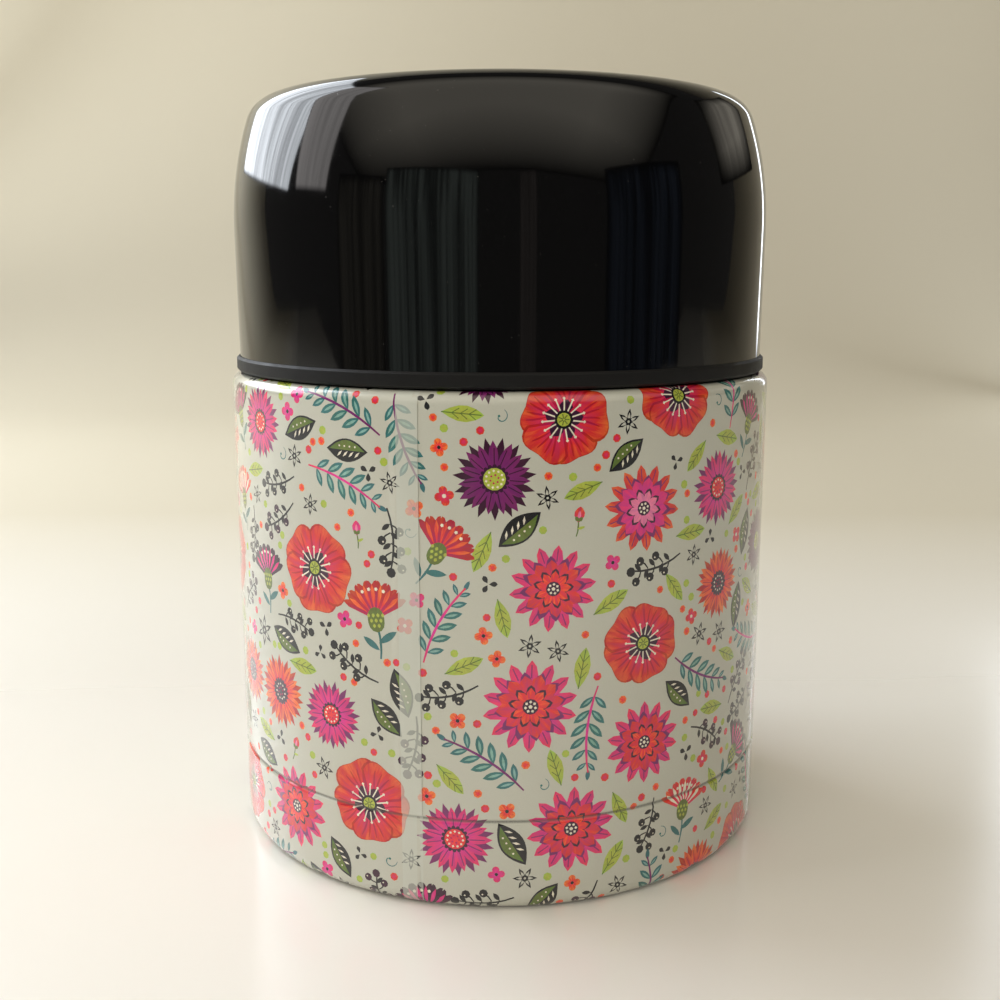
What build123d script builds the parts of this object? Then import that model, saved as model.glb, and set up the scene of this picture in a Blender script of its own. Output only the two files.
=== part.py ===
from build123d import *
import math
import os

# Wide-mouth vacuum food jar with a screw-on cup lid and a screw stopper under it.
# Millimetres. +Z is up, the origin is the centre of the foot, and -Y is the front.

# ---- Driving dimensions -------------------------------------------------------------

# Body
BODY_D = 100.0            # across the printed film
SHOULDER_Z = 85.0         # top of the steel shoulder, under the film's upper edge
SHOULDER_W = 7.85         # step from the wall in to the neck
SHOULDER_BEND = 1.9       # edge between the wall and the shoulder
NECK_H = 10.0             # from the shoulder to the drinking edge
NECK_WALL = 2.5           # both sheets and the vacuum between them
NECK_BEND = 1.3           # fillet between the shoulder and the neck
SHEET = 0.5               # steel sheet of both vessels
GROOVE_Z = 15.7           # weld line between the shell and the base cup
GROOVE_DEPTH = 0.35
GROOVE_HALF_W = 0.5

# Base cup
HEEL_BEND = 2.6           # edge between the wall and the foot
FOOT_W = 7.85             # from the wall to the inside of the ring that the jar stands on
RECESS_DEPTH = 1.9        # how far the middle of the base is pressed in
RECESS_LEAN = 1.2
DIMPLE_D = 16.0           # cup around the vacuum seal
DIMPLE_DEPTH = 1.2
DIMPLE_LEAN = 0.6
SEAL_HOLE_D = 2.4
SEAL_BEAD_D = 7.0
SEAL_BEAD_H = 0.7
SEAL_COVER_D = 24.0       # cap glued over the seal
SEAL_COVER_T = 0.6

# Inner vessel
THROAT_H = 16.0           # straight bore below the drinking edge
LIP_BEND = 0.9            # outer radius of the rolled lip
LIP_DROP = 1.7            # depth of the lip's outer leg, where it meets the shell
VACUUM_GAP = 4.3          # between the two side walls
VESSEL_FLOOR_Z = 8.0      # food side of the bottom
VESSEL_HEEL_BEND = 9.0
CONE_H = 7.0              # slope from the side wall in to the throat
CONE_BEND = 5.0
THROAT_BEND = 3.0
GETTER_D = 13.0
GETTER_H = 1.6

# Printed film
FILM = 0.15
FILM_FOOT_Z = 0.5         # lower edge, on the curve of the heel
FILM_HEM = 3.8            # how far the film reaches in over the shoulder
FILM_LAP_ANGLE = 14.6     # trailing edge of the lap, measured from the front to the left
FILM_LAP_W = 3.6

# Lid shell: a nearly straight wall, a long easy curve, a tight corner and a flat crown
LID_STEP = 1.525          # how far the shell's foot stands inside the film
LID_WALL = 2.0
LID_WALL_H = 22.25
LID_DRAFT = 0.6           # degrees the wall leans out on its way up
LID_SIDE_R = 60.0
LID_SIDE_LEAN = 17.8      # degrees from vertical at the end of the long curve
LID_CORNER_R = 5.5
LID_CROWN_LEAN = 86.0     # degrees from vertical at the edge of the crown

# Rim ring, with the skirt that carries the lid's thread
RIM_GAP = 0.3             # under the ring, above the film on the shoulder
RIM_STEP = 0.9            # how far the ring stands inside the film
RIM_H = 2.6
RIM_CHAMFER = 0.4
THREAD_ROOM = 1.2         # between the neck and the skirt
SPIGOT_FIT = 0.075        # upstand that the shell is pressed on
SPIGOT_H = 4.4
SKIRT_WALL = 1.8
SKIRT_RISE = 7.55         # above the spigot

# Lid liner: the bowl inside the cup
LINER_WALL = 1.8
COLLAR_H = 1.4            # collar that centres the liner in the shell
COLLAR_FIT = 0.3
LINER_DRAFT = 1.2         # degrees
LINER_CORNER_R = 9.0
FOAM_CLEARANCE = 0.3      # around the foam ring
FOAM_RING_H = 19.0
FOAM_DISC_MARGIN = 3.5    # from the edge of the shell's flat ceiling
FOAM_DISC_T = 2.4
DISC_HEADROOM = 4.5       # free height between the disc and the bowl

# Stopper
PLUG_CLEARANCE = 1.2      # between the plug and the mouth
PLUG_WALL = 2.0
PLUG_DEPTH = 12.0         # below the drinking edge
PLUG_CHAMFER = 1.2
GASKET_T = 1.2
GASKET_INSET = 0.2        # how far the flange reaches past the gasket
FLANGE_ROOM = 1.6         # between the flange and the lid's skirt
FLANGE_T = 2.0
TUBE_BORE_D = 6.4         # air passage through the plug
TUBE_WALL = 1.8
FOAM_SLACK = 0.2
COVER_STEP = 1.6          # flange left bare around the cover
COVER_T = 2.0
GRIP_D = 58.0
GRIP_H = 5.3              # above the cover's plate
GRIP_DRAFT = 4.0          # degrees
GRIP_EDGE_R = 1.6
GRIP_WALL = 2.2
FLUTES = 12
FLUTE_D = 9.0
FLUTE_DEPTH = 2.2
WELL_D = 21.0             # bore that the button slides in
EASE = 0.4                # small round on moulded edges

# Vent valve
BUTTON_CLEARANCE = 0.3
BUTTON_SINK = 0.2         # top of the button below the top of the grip
BUTTON_DISH = 0.5         # finger hollow in its top
BUTTON_LIP = 2.2          # flat border round the hollow
BUTTON_H = 3.5
BUTTON_WALL = 1.2
STEM_D = 4.0
SOCKET_WALL = 1.3
SOCKET_H = 1.6
VALVE_HEAD_D = 14.0
VALVE_HEAD_T = 1.1
VALVE_SEAL_T = 1.0
VALVE_SEAL_D = 12.6
SPRING_WIRE = 0.5
SPRING_MEAN_D = 12.0
SPRING_TURNS = 2.5

# ---- Sizes that follow --------------------------------------------------------------

film_r = BODY_D / 2
shell_r = film_r - FILM
neck_r = shell_r - SHOULDER_W
mouth_r = neck_r - NECK_WALL
vessel_r = shell_r - SHEET - VACUUM_GAP - SHEET
foot_r = shell_r - FOOT_W
lip_z = SHOULDER_Z + NECK_H
lip_foot_z = lip_z - LIP_DROP
cone_top_z = lip_z - THROAT_H
dimple_z = RECESS_DEPTH + DIMPLE_DEPTH

lid_foot_r = film_r - LID_STEP
rim_r = film_r - RIM_STEP
rim_z = SHOULDER_Z + FILM + RIM_GAP
rim_top_z = rim_z + RIM_H
bore_r = neck_r + THREAD_ROOM
spigot_r = lid_foot_r - LID_WALL - SPIGOT_FIT
spigot_top_z = rim_top_z + SPIGOT_H
skirt_top_z = spigot_top_z + SKIRT_RISE
collar_r = lid_foot_r - LID_WALL - COLLAR_FIT

plug_r = mouth_r - PLUG_CLEARANCE
plug_z = lip_z - PLUG_DEPTH
plug_floor_z = plug_z + PLUG_WALL
flange_r = bore_r - FLANGE_ROOM
flange_z = lip_z + GASKET_T
flange_top_z = flange_z + FLANGE_T
tube_r = TUBE_BORE_D / 2 + TUBE_WALL
cover_r = flange_r - COVER_STEP
cover_top_z = flange_top_z + COVER_T
grip_top_z = cover_top_z + GRIP_H
well_r = WELL_D / 2
button_r = well_r - BUTTON_CLEARANCE
button_top_z = grip_top_z - BUTTON_SINK
button_under_z = button_top_z - BUTTON_DISH - BUTTON_WALL
seal_foot_z = plug_z - VALVE_SEAL_T


# ---- Ways of making a round piece ---------------------------------------------------

def spin(profile):
    """Turn a profile, drawn with x as radius and y as height, about the Z axis."""
    return revolve(Plane.XZ * profile, Axis.Z)


def turned(*corners):
    """A solid of revolution from its corners: (radius, height) or (radius, height, fillet)."""
    profile = make_face(Polyline(*[c[:2] for c in corners], close=True)).face()
    for corner in corners:
        if len(corner) == 3:
            vertex = profile.vertices().sort_by_distance((corner[0], corner[1]))[0]
            profile = profile.fillet_2d(corner[2], [vertex])
    return spin(profile)


def pressed(*path, wall, side=Side.LEFT):
    """Sheet of one thickness along a path of (radius, height) or (radius, height, bend)."""
    bends = [point[2] if len(point) == 3 else 0 for point in path[1:-1]]
    line = FilletPolyline(*[point[:2] for point in path], radius=bends)
    sheet = line.wire().offset_2d(wall, side=side)
    return spin(make_face(sheet))


def band(inner_r, outer_r, foot_z, top_z):
    return turned((inner_r, foot_z), (outer_r, foot_z), (outer_r, top_z), (inner_r, top_z))


def filled(outline):
    """Solid inside a half outline, down to its foot."""
    foot = outline[0] @ 0
    edge = outline[-1] @ 1
    over = Line(edge, (0, edge.Y))
    axis = Line((0, edge.Y), (0, foot.Y))
    under = Line((0, foot.Y), foot)
    return spin(make_face([*outline, over, axis, under]))


# ---- Jar ----------------------------------------------------------------------------

def outer_shell():
    return pressed(
        (shell_r - GROOVE_DEPTH, GROOVE_Z),
        (shell_r, GROOVE_Z + GROOVE_HALF_W),
        (shell_r, SHOULDER_Z, SHOULDER_BEND),
        (neck_r, SHOULDER_Z, NECK_BEND),
        (neck_r, lip_foot_z),
        wall=SHEET,
    )


def base_cup():
    cup = pressed(
        (shell_r - GROOVE_DEPTH, GROOVE_Z),
        (shell_r, GROOVE_Z - GROOVE_HALF_W),
        (shell_r, 0, HEEL_BEND),
        (foot_r, 0, SHEET),
        (foot_r - RECESS_LEAN, RECESS_DEPTH, SHEET),
        (DIMPLE_D / 2, RECESS_DEPTH, SHEET),
        (DIMPLE_D / 2 - DIMPLE_LEAN, dimple_z, SHEET),
        (0, dimple_z),
        wall=SHEET,
        side=Side.RIGHT,
    )
    return cup - Pos(0, 0, dimple_z) * Cylinder(SEAL_HOLE_D / 2, 4 * SHEET)


def vacuum_seal():
    """Solder drop that fills the pumping hole and spreads under it."""
    return turned(
        (0, dimple_z - SEAL_BEAD_H),
        (SEAL_BEAD_D / 2, dimple_z - SEAL_BEAD_H, EASE),
        (SEAL_BEAD_D / 2, dimple_z),
        (SEAL_HOLE_D / 2, dimple_z),
        (SEAL_HOLE_D / 2, dimple_z + SHEET),
        (0, dimple_z + SHEET),
    )


def seal_cover():
    return turned(
        (0, RECESS_DEPTH - SEAL_COVER_T),
        (SEAL_COVER_D / 2, RECESS_DEPTH - SEAL_COVER_T, SEAL_COVER_T / 2),
        (SEAL_COVER_D / 2, RECESS_DEPTH),
        (0, RECESS_DEPTH),
    )


def inner_vessel():
    return pressed(
        (0, VESSEL_FLOOR_Z),
        (vessel_r, VESSEL_FLOOR_Z, VESSEL_HEEL_BEND),
        (vessel_r, cone_top_z - CONE_H, CONE_BEND),
        (mouth_r, cone_top_z, THROAT_BEND),
        (mouth_r, lip_z, LIP_BEND),
        (neck_r, lip_z, LIP_BEND),
        (neck_r, lip_foot_z),
        wall=SHEET,
        side=Side.RIGHT,
    )


def getter():
    """Pellet cup that keeps the vacuum, welded under the inner vessel."""
    top_z = VESSEL_FLOOR_Z - SHEET
    return turned(
        (0, top_z - GETTER_H),
        (GETTER_D / 2, top_z - GETTER_H, EASE),
        (GETTER_D / 2, top_z),
        (0, top_z),
    )


def print_film():
    """Film shrunk over the steel, from the heel to the shoulder, with its lap at the front left."""
    wrap = pressed(
        (foot_r, 0),
        (shell_r, 0, HEEL_BEND),
        (shell_r, GROOVE_Z - GROOVE_HALF_W),
        (shell_r - GROOVE_DEPTH, GROOVE_Z),
        (shell_r, GROOVE_Z + GROOVE_HALF_W),
        (shell_r, SHOULDER_Z, SHOULDER_BEND),
        (shell_r - FILM_HEM, SHOULDER_Z),
        wall=FILM,
        side=Side.RIGHT,
    )
    wrap = split(wrap, Plane.XY.offset(FILM_FOOT_Z), keep=Keep.TOP)
    lap_foot_z = GROOVE_Z + 2 * GROOVE_HALF_W
    lap_h = SHOULDER_Z - SHOULDER_BEND - lap_foot_z
    lap_angle = math.degrees(FILM_LAP_W / film_r)
    strip = Pos(film_r + FILM / 2, lap_foot_z + lap_h / 2) * Rectangle(FILM, lap_h)
    lap = revolve(Plane.XZ * strip, Axis.Z, revolution_arc=lap_angle)
    return wrap + Rot(0, 0, -90 - FILM_LAP_ANGLE - lap_angle) * lap


# ---- Cup lid ------------------------------------------------------------------------

def dome(inset=0.0, crown_lean=LID_CROWN_LEAN):
    """Half outline of the lid from its foot to the edge of the crown, as far inside as inset."""
    draft = math.radians(LID_DRAFT)
    wall_top_z = rim_top_z + LID_WALL_H
    wall_top_r = lid_foot_r + LID_WALL_H * math.tan(draft)
    foot = (lid_foot_r - inset / math.cos(draft), rim_top_z)
    top = (wall_top_r - inset * math.cos(draft), wall_top_z + inset * math.sin(draft))
    wall = Line(foot, top)
    side = JernArc(wall @ 1, wall % 1, LID_SIDE_R - inset, LID_DRAFT + LID_SIDE_LEAN)
    corner = JernArc(side @ 1, side % 1, LID_CORNER_R - inset, crown_lean - LID_SIDE_LEAN)
    return [wall, side, corner]


def crown(edge):
    """Shallow arc from the edge of the crown, level where it meets the axis."""
    lean = 90 - LID_CROWN_LEAN
    radius = (edge @ 1).X / math.sin(math.radians(lean))
    return JernArc(edge @ 1, edge % 1, radius, lean)


def ceiling_edge():
    """Edge of the flat inside of the shell's crown, as (radius, height)."""
    return dome(LID_WALL, 90)[-1] @ 1


def liner_ceiling_z():
    """Inside of the bowl's bottom, which is a ceiling while the lid is on."""
    return ceiling_edge().Y - FOAM_DISC_T - DISC_HEADROOM - LINER_WALL


def lid_shell():
    outside = dome()
    outside.append(crown(outside[-1]))
    inside = dome(LID_WALL, 90)
    ceiling = Line(inside[-1] @ 1, (0, ceiling_edge().Y))
    axis = Line(outside[-1] @ 1, ceiling @ 1)
    foot = Line(inside[0] @ 0, outside[0] @ 0)
    return spin(make_face([*outside, axis, ceiling, *inside, foot]))


def lid_rim():
    """Ring under the shell, with a spigot inside the shell and the threaded skirt."""
    skirt_r = bore_r + SKIRT_WALL
    return turned(
        (bore_r, rim_z, EASE),
        (rim_r - RIM_CHAMFER, rim_z),
        (rim_r, rim_z + RIM_CHAMFER),
        (rim_r, rim_top_z - RIM_CHAMFER),
        (rim_r - RIM_CHAMFER, rim_top_z),
        (spigot_r, rim_top_z),
        (spigot_r, spigot_top_z - RIM_CHAMFER),
        (spigot_r - RIM_CHAMFER, spigot_top_z),
        (skirt_r, spigot_top_z),
        (skirt_r, skirt_top_z),
        (bore_r, skirt_top_z),
    )


def liner_line(inset=0.0):
    """Half outline of the bowl's inside, from its collar to the edge of its ceiling."""
    draft = math.radians(LINER_DRAFT)
    corner_z = liner_ceiling_z() - LINER_CORNER_R * (1 - math.sin(draft))
    top_r = bore_r - (corner_z - skirt_top_z) * math.tan(draft)
    foot = (bore_r + inset / math.cos(draft), skirt_top_z)
    top = (top_r + inset * math.cos(draft), corner_z + inset * math.sin(draft))
    wall = Line(foot, top)
    corner = JernArc(wall @ 1, wall % 1, LINER_CORNER_R + inset, 90 - LINER_DRAFT)
    return [wall, corner]


def lid_liner():
    bowl = filled(liner_line(LINER_WALL)) - filled(liner_line())
    return bowl + band(bore_r + LINER_WALL / 2, collar_r, skirt_top_z, skirt_top_z + COLLAR_H)


def lid_foam_ring():
    """Foam that fills the corner between the bowl and the shell, standing on the collar."""
    foot_z = skirt_top_z + COLLAR_H
    room = filled(dome(LID_WALL + FOAM_CLEARANCE, 90))
    bowl = filled(liner_line(LINER_WALL + FOAM_CLEARANCE))
    return (room - bowl) & band(bore_r, lid_foot_r, foot_z, foot_z + FOAM_RING_H)


def lid_foam_disc():
    """Pad bonded under the shell's ceiling."""
    edge = ceiling_edge()
    disc_r = edge.X - FOAM_DISC_MARGIN
    return turned(
        (0, edge.Y - FOAM_DISC_T),
        (disc_r, edge.Y - FOAM_DISC_T, EASE),
        (disc_r, edge.Y),
        (0, edge.Y),
    )


# ---- Stopper ------------------------------------------------------------------------

def stopper_body():
    """Hollow plug with a flange that hangs it from the lip, and a tube for the vent."""
    return turned(
        (TUBE_BORE_D / 2, plug_z),
        (plug_r - PLUG_CHAMFER, plug_z),
        (plug_r, plug_z + PLUG_CHAMFER),
        (plug_r, flange_z),
        (flange_r, flange_z, EASE),
        (flange_r, flange_top_z, EASE),
        (plug_r - PLUG_WALL, flange_top_z),
        (plug_r - PLUG_WALL, plug_floor_z),
        (tube_r, plug_floor_z),
        (tube_r, flange_top_z),
        (TUBE_BORE_D / 2, flange_top_z),
    )


def stopper_gasket():
    return turned(
        (plug_r, lip_z),
        (flange_r - GASKET_INSET, lip_z, EASE),
        (flange_r - GASKET_INSET, flange_z),
        (plug_r, flange_z),
    )


def stopper_foam():
    return band(tube_r + FOAM_SLACK, plug_r - PLUG_WALL - FOAM_SLACK, plug_floor_z, flange_top_z)


def stopper_cover():
    """Lid of the plug: a plate with a hollow fluted grip and the well for the vent button."""
    grip_r = GRIP_D / 2
    lean = GRIP_H * math.tan(math.radians(GRIP_DRAFT))
    cover = turned(
        (TUBE_BORE_D / 2, flange_top_z),
        (cover_r, flange_top_z),
        (cover_r, cover_top_z, EASE),
        (grip_r, cover_top_z),
        (grip_r - lean, grip_top_z, GRIP_EDGE_R),
        (well_r, grip_top_z, EASE),
        (well_r, cover_top_z),
        (TUBE_BORE_D / 2, cover_top_z),
    )
    flute = Cylinder(FLUTE_D / 2, 4 * GRIP_H, align=(Align.CENTER, Align.CENTER, Align.MIN))
    flute = Pos(grip_r + FLUTE_D / 2 - FLUTE_DEPTH, 0, cover_top_z) * Rot(0, -GRIP_DRAFT, 0) * flute
    cover -= [turn * flute for turn in PolarLocations(0, FLUTES)]
    return cover - band(
        well_r + GRIP_WALL,
        grip_r - FLUTE_DEPTH - GRIP_WALL,
        flange_top_z,
        grip_top_z - GRIP_WALL,
    )


# ---- Vent valve ---------------------------------------------------------------------

def vent_button():
    """Push button: a dished cap with a skirt and a socket for the stem."""
    foot_z = button_top_z - BUTTON_H
    socket_r = STEM_D / 2 + SOCKET_WALL
    return turned(
        (0, button_top_z - BUTTON_DISH),
        (button_r - BUTTON_LIP, button_top_z, BUTTON_LIP),
        (button_r, button_top_z, EASE),
        (button_r, foot_z),
        (button_r - BUTTON_WALL, foot_z),
        (button_r - BUTTON_WALL, button_under_z),
        (socket_r, button_under_z),
        (socket_r, button_under_z - SOCKET_H),
        (STEM_D / 2, button_under_z - SOCKET_H),
        (STEM_D / 2, button_under_z),
        (0, button_under_z),
    )


def vent_stem():
    """Pin from the button down to the valve head that hangs under the plug."""
    head_z = seal_foot_z - VALVE_HEAD_T
    return turned(
        (0, head_z),
        (VALVE_HEAD_D / 2, head_z, EASE),
        (VALVE_HEAD_D / 2, seal_foot_z),
        (STEM_D / 2, seal_foot_z),
        (STEM_D / 2, button_under_z),
        (0, button_under_z),
    )


def vent_seal():
    return turned(
        (STEM_D / 2, seal_foot_z),
        (VALVE_SEAL_D / 2, seal_foot_z),
        (VALVE_SEAL_D / 2, plug_z, EASE),
        (STEM_D / 2, plug_z),
    )


def vent_spring():
    """Coil spring between the floor of the well and the button."""
    foot_z = cover_top_z + SPRING_WIRE / 2
    height = button_under_z - SPRING_WIRE / 2 - foot_z
    coil = Pos(0, 0, foot_z) * Helix(height / SPRING_TURNS, height, SPRING_MEAN_D / 2)
    section = Plane(origin=coil @ 0, z_dir=coil % 0) * Circle(SPRING_WIRE / 2)
    return sweep(section, path=coil)


PIECES = {
    "outer_shell": outer_shell,
    "base_cup": base_cup,
    "vacuum_seal": vacuum_seal,
    "seal_cover": seal_cover,
    "inner_vessel": inner_vessel,
    "getter": getter,
    "print_film": print_film,
    "lid_shell": lid_shell,
    "lid_rim": lid_rim,
    "lid_liner": lid_liner,
    "lid_foam_ring": lid_foam_ring,
    "lid_foam_disc": lid_foam_disc,
    "stopper_body": stopper_body,
    "stopper_gasket": stopper_gasket,
    "stopper_foam": stopper_foam,
    "stopper_cover": stopper_cover,
    "vent_button": vent_button,
    "vent_stem": vent_stem,
    "vent_seal": vent_seal,
    "vent_spring": vent_spring,
}

os.makedirs("parts", exist_ok=True)
for name, make in PIECES.items():
    export_step(make(), f"parts/{name}.step")
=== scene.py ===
"""Insulated food jar: the finished look of every piece, built round the packed frame."""
import math
from collections import namedtuple

import bmesh
import bpy
import numpy as np
from bpy.props import FloatProperty, FloatVectorProperty, IntProperty, PointerProperty
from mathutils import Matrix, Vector
from mathutils.geometry import delaunay_2d_cdt


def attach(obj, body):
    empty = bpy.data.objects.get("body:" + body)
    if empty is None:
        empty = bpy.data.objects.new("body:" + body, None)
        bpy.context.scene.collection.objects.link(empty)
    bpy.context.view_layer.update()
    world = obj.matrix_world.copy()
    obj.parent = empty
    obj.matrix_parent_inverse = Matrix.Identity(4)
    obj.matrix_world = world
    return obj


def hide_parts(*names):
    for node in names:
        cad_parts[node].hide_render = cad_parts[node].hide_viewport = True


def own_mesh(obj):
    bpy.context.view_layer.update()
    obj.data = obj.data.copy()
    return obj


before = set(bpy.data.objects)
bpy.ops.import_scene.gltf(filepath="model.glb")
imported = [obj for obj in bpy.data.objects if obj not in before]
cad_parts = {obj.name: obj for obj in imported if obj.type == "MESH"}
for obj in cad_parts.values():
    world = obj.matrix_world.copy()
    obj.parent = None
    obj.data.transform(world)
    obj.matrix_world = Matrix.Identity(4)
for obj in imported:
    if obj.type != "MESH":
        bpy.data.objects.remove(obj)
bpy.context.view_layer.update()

bl_info = {
    "name": "Insulated food jar",
    "version": (1, 0, 0),
    "blender": (4, 5, 0),
    "location": "View3D > Sidebar > Food jar",
    "description": "Builds the steel jar, its printed film, cup lid, stopper and vent valve",
    "category": "Object",
}

MM = 0.001
ARC_STEP = math.radians(9)  # widest turn between two points of a bend
RIDGE_STEP = math.radians(3)  # turn between two rows of a thread ridge
RIDGE_POINTS = 9  # points across a thread ridge
RIDGE_FADE = 1 / 8  # share of a ridge over which it swells, and over which it fades
RIDGE_TIP = 0.02  # where the swell starts, so that no tip is quite flat
SHARP_EDGE = math.radians(32)  # edges that turn more than this stay crisp
SAME_POINT = 1e-7  # points nearer to each other than this, in metres, are one


# ---- Properties ----

def length(name, millimetres, description):
    """A size in metres, given in millimetres."""
    return FloatProperty(name=name, description=description, default=millimetres * MM,
                         unit="LENGTH", precision=5)


def paint(name, red, green, blue, description):
    """A colour given by its three 0-255 screen values."""
    def linear(value):
        """Light value of a screen value, by the sRGB curve."""
        value /= 255
        return value / 12.92 if value <= 0.04045 else ((value + 0.055) / 1.055) ** 2.4

    return FloatVectorProperty(name=name, description=description, subtype="COLOR", size=3,
                               min=0.0, max=1.0, default=[linear(v) for v in (red, green, blue)])


class JarSizes(bpy.types.PropertyGroup):
    """Steel body, base cup and inner vessel."""
    film_r: length("Film radius", 50.0, "Outside of the printed film")
    film: length("Film", 0.15, "Thickness of the printed film")
    film_foot_z: length("Film foot", 0.5, "Height of the film's lower edge on the heel")
    film_hem: length("Film hem", 3.8, "How far the film reaches in over the shoulder")
    lap_w: length("Lap width", 3.6, "Clear flap where the film overlaps itself")
    lap_angle: FloatProperty(name="Lap angle", description="From the front, to the left",
                             default=math.radians(14.6), unit="ROTATION")
    sheet: length("Sheet", 0.5, "Steel sheet of both vessels")
    shoulder_z: length("Shoulder height", 85.0, "Top of the steel shoulder")
    shoulder_w: length("Shoulder width", 7.85, "Step from the wall in to the neck")
    shoulder_bend: length("Shoulder bend", 1.9, "Edge between wall and shoulder")
    neck_h: length("Neck height", 10.0, "From the shoulder to the drinking edge")
    neck_wall: length("Neck wall", 2.5, "Both sheets and the vacuum between them")
    neck_bend: length("Neck bend", 1.3, "Fillet between shoulder and neck")
    groove_z: length("Groove height", 15.7, "Weld line between shell and base cup")
    groove_depth: length("Groove depth", 0.35, "How deep the weld line is pressed in")
    groove_half_w: length("Groove half width", 0.5, "Half the width of the weld line")
    heel_bend: length("Heel bend", 2.6, "Edge between wall and foot")
    foot_w: length("Foot width", 7.85, "From the wall to the inside of the foot ring")
    recess: length("Recess", 1.9, "How far the middle of the base is pressed in")
    recess_lean: length("Recess lean", 1.2, "Lean of the recess's step")
    dimple_r: length("Dimple radius", 8.0, "Cup around the vacuum seal")
    dimple: length("Dimple depth", 1.2, "Depth of the cup around the vacuum seal")
    dimple_lean: length("Dimple lean", 0.6, "Lean of the dimple's step")
    seal_hole_r: length("Seal hole", 1.2, "Radius of the pumping hole")
    seal_bead_r: length("Seal bead radius", 3.5, "Solder bead under the hole")
    seal_bead_h: length("Seal bead height", 0.7, "Solder bead under the hole")
    seal_cover_r: length("Seal cover radius", 12.0, "Cap glued over the seal")
    seal_cover_t: length("Seal cover thickness", 0.6, "Cap glued over the seal")
    throat_h: length("Throat height", 16.0, "Straight bore below the drinking edge")
    lip_bend: length("Lip bend", 0.9, "Outer radius of the rolled lip")
    lip_drop: length("Lip drop", 1.7, "Depth of the lip's outer leg")
    vacuum_gap: length("Vacuum gap", 4.3, "Between the two side walls")
    floor_z: length("Vessel floor", 8.0, "Food side of the bottom")
    floor_bend: length("Floor bend", 9.0, "Edge between the vessel's floor and wall")
    cone_h: length("Cone height", 7.0, "Slope from the side wall in to the throat")
    cone_bend: length("Cone bend", 5.0, "Edge between side wall and slope")
    throat_bend: length("Throat bend", 3.0, "Edge between slope and throat")
    getter_r: length("Getter radius", 6.5, "Pellet cup under the vessel")
    getter_h: length("Getter height", 1.6, "Pellet cup under the vessel")

    @property
    def shell_r(self):
        return self.film_r - self.film

    @property
    def neck_r(self):
        return self.shell_r - self.shoulder_w

    @property
    def mouth_r(self):
        return self.neck_r - self.neck_wall

    @property
    def lip_z(self):
        return self.shoulder_z + self.neck_h

    @property
    def foot_r(self):
        return self.shell_r - self.foot_w

    @property
    def dimple_z(self):
        return self.recess + self.dimple


class LidSizes(bpy.types.PropertyGroup):
    """Domed shell, rim ring, bowl liner and pads."""
    step: length("Step", 1.525, "How far the shell's foot stands inside the film")
    wall: length("Wall", 2.0, "Thickness of the shell")
    wall_h: length("Wall height", 22.25, "Nearly straight part of the shell")
    draft: FloatProperty(name="Draft", description="The wall leans out on its way up",
                         default=math.radians(0.6), unit="ROTATION")
    side_r: length("Side radius", 60.0, "Long easy curve above the wall")
    side_lean: FloatProperty(name="Side lean", description="From vertical, at the curve's end",
                             default=math.radians(17.8), unit="ROTATION")
    corner_r: length("Corner radius", 5.5, "Tight curve before the crown")
    crown_lean: FloatProperty(name="Crown lean", description="From vertical, at the crown's edge",
                              default=math.radians(86.0), unit="ROTATION")
    rim_gap: length("Rim gap", 0.3, "Between the ring and the film on the shoulder")
    rim_step: length("Rim step", 0.9, "How far the ring stands inside the film")
    rim_h: length("Rim height", 2.6, "Height of the ring")
    rim_chamfer: length("Rim chamfer", 0.4, "Chamfers of the ring")
    thread_room: length("Thread room", 1.2, "Between the neck and the skirt")
    spigot_fit: length("Spigot fit", 0.075, "Between the upstand and the shell")
    spigot_h: length("Spigot height", 4.4, "Upstand that the shell is pressed on")
    skirt_wall: length("Skirt wall", 1.8, "Threaded skirt")
    skirt_rise: length("Skirt rise", 7.55, "Skirt above the upstand")
    liner_wall: length("Liner wall", 1.8, "Bowl inside the cup")
    collar_h: length("Collar height", 1.4, "Collar that centres the bowl")
    collar_fit: length("Collar fit", 0.3, "Between the collar and the shell")
    liner_draft: FloatProperty(name="Liner draft", description="The bowl narrows on its way up",
                               default=math.radians(1.2), unit="ROTATION")
    liner_corner_r: length("Liner corner", 9.0, "Bend between the bowl's wall and bottom")
    foam_clearance: length("Foam clearance", 0.3, "Around the foam ring")
    foam_ring_h: length("Foam ring height", 19.0, "Foam between bowl and shell")
    disc_margin: length("Disc margin", 3.5, "From the pad to the edge of the ceiling")
    disc_t: length("Disc thickness", 2.4, "Pad under the ceiling")
    headroom: length("Headroom", 4.5, "Between the pad and the bowl")


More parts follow.
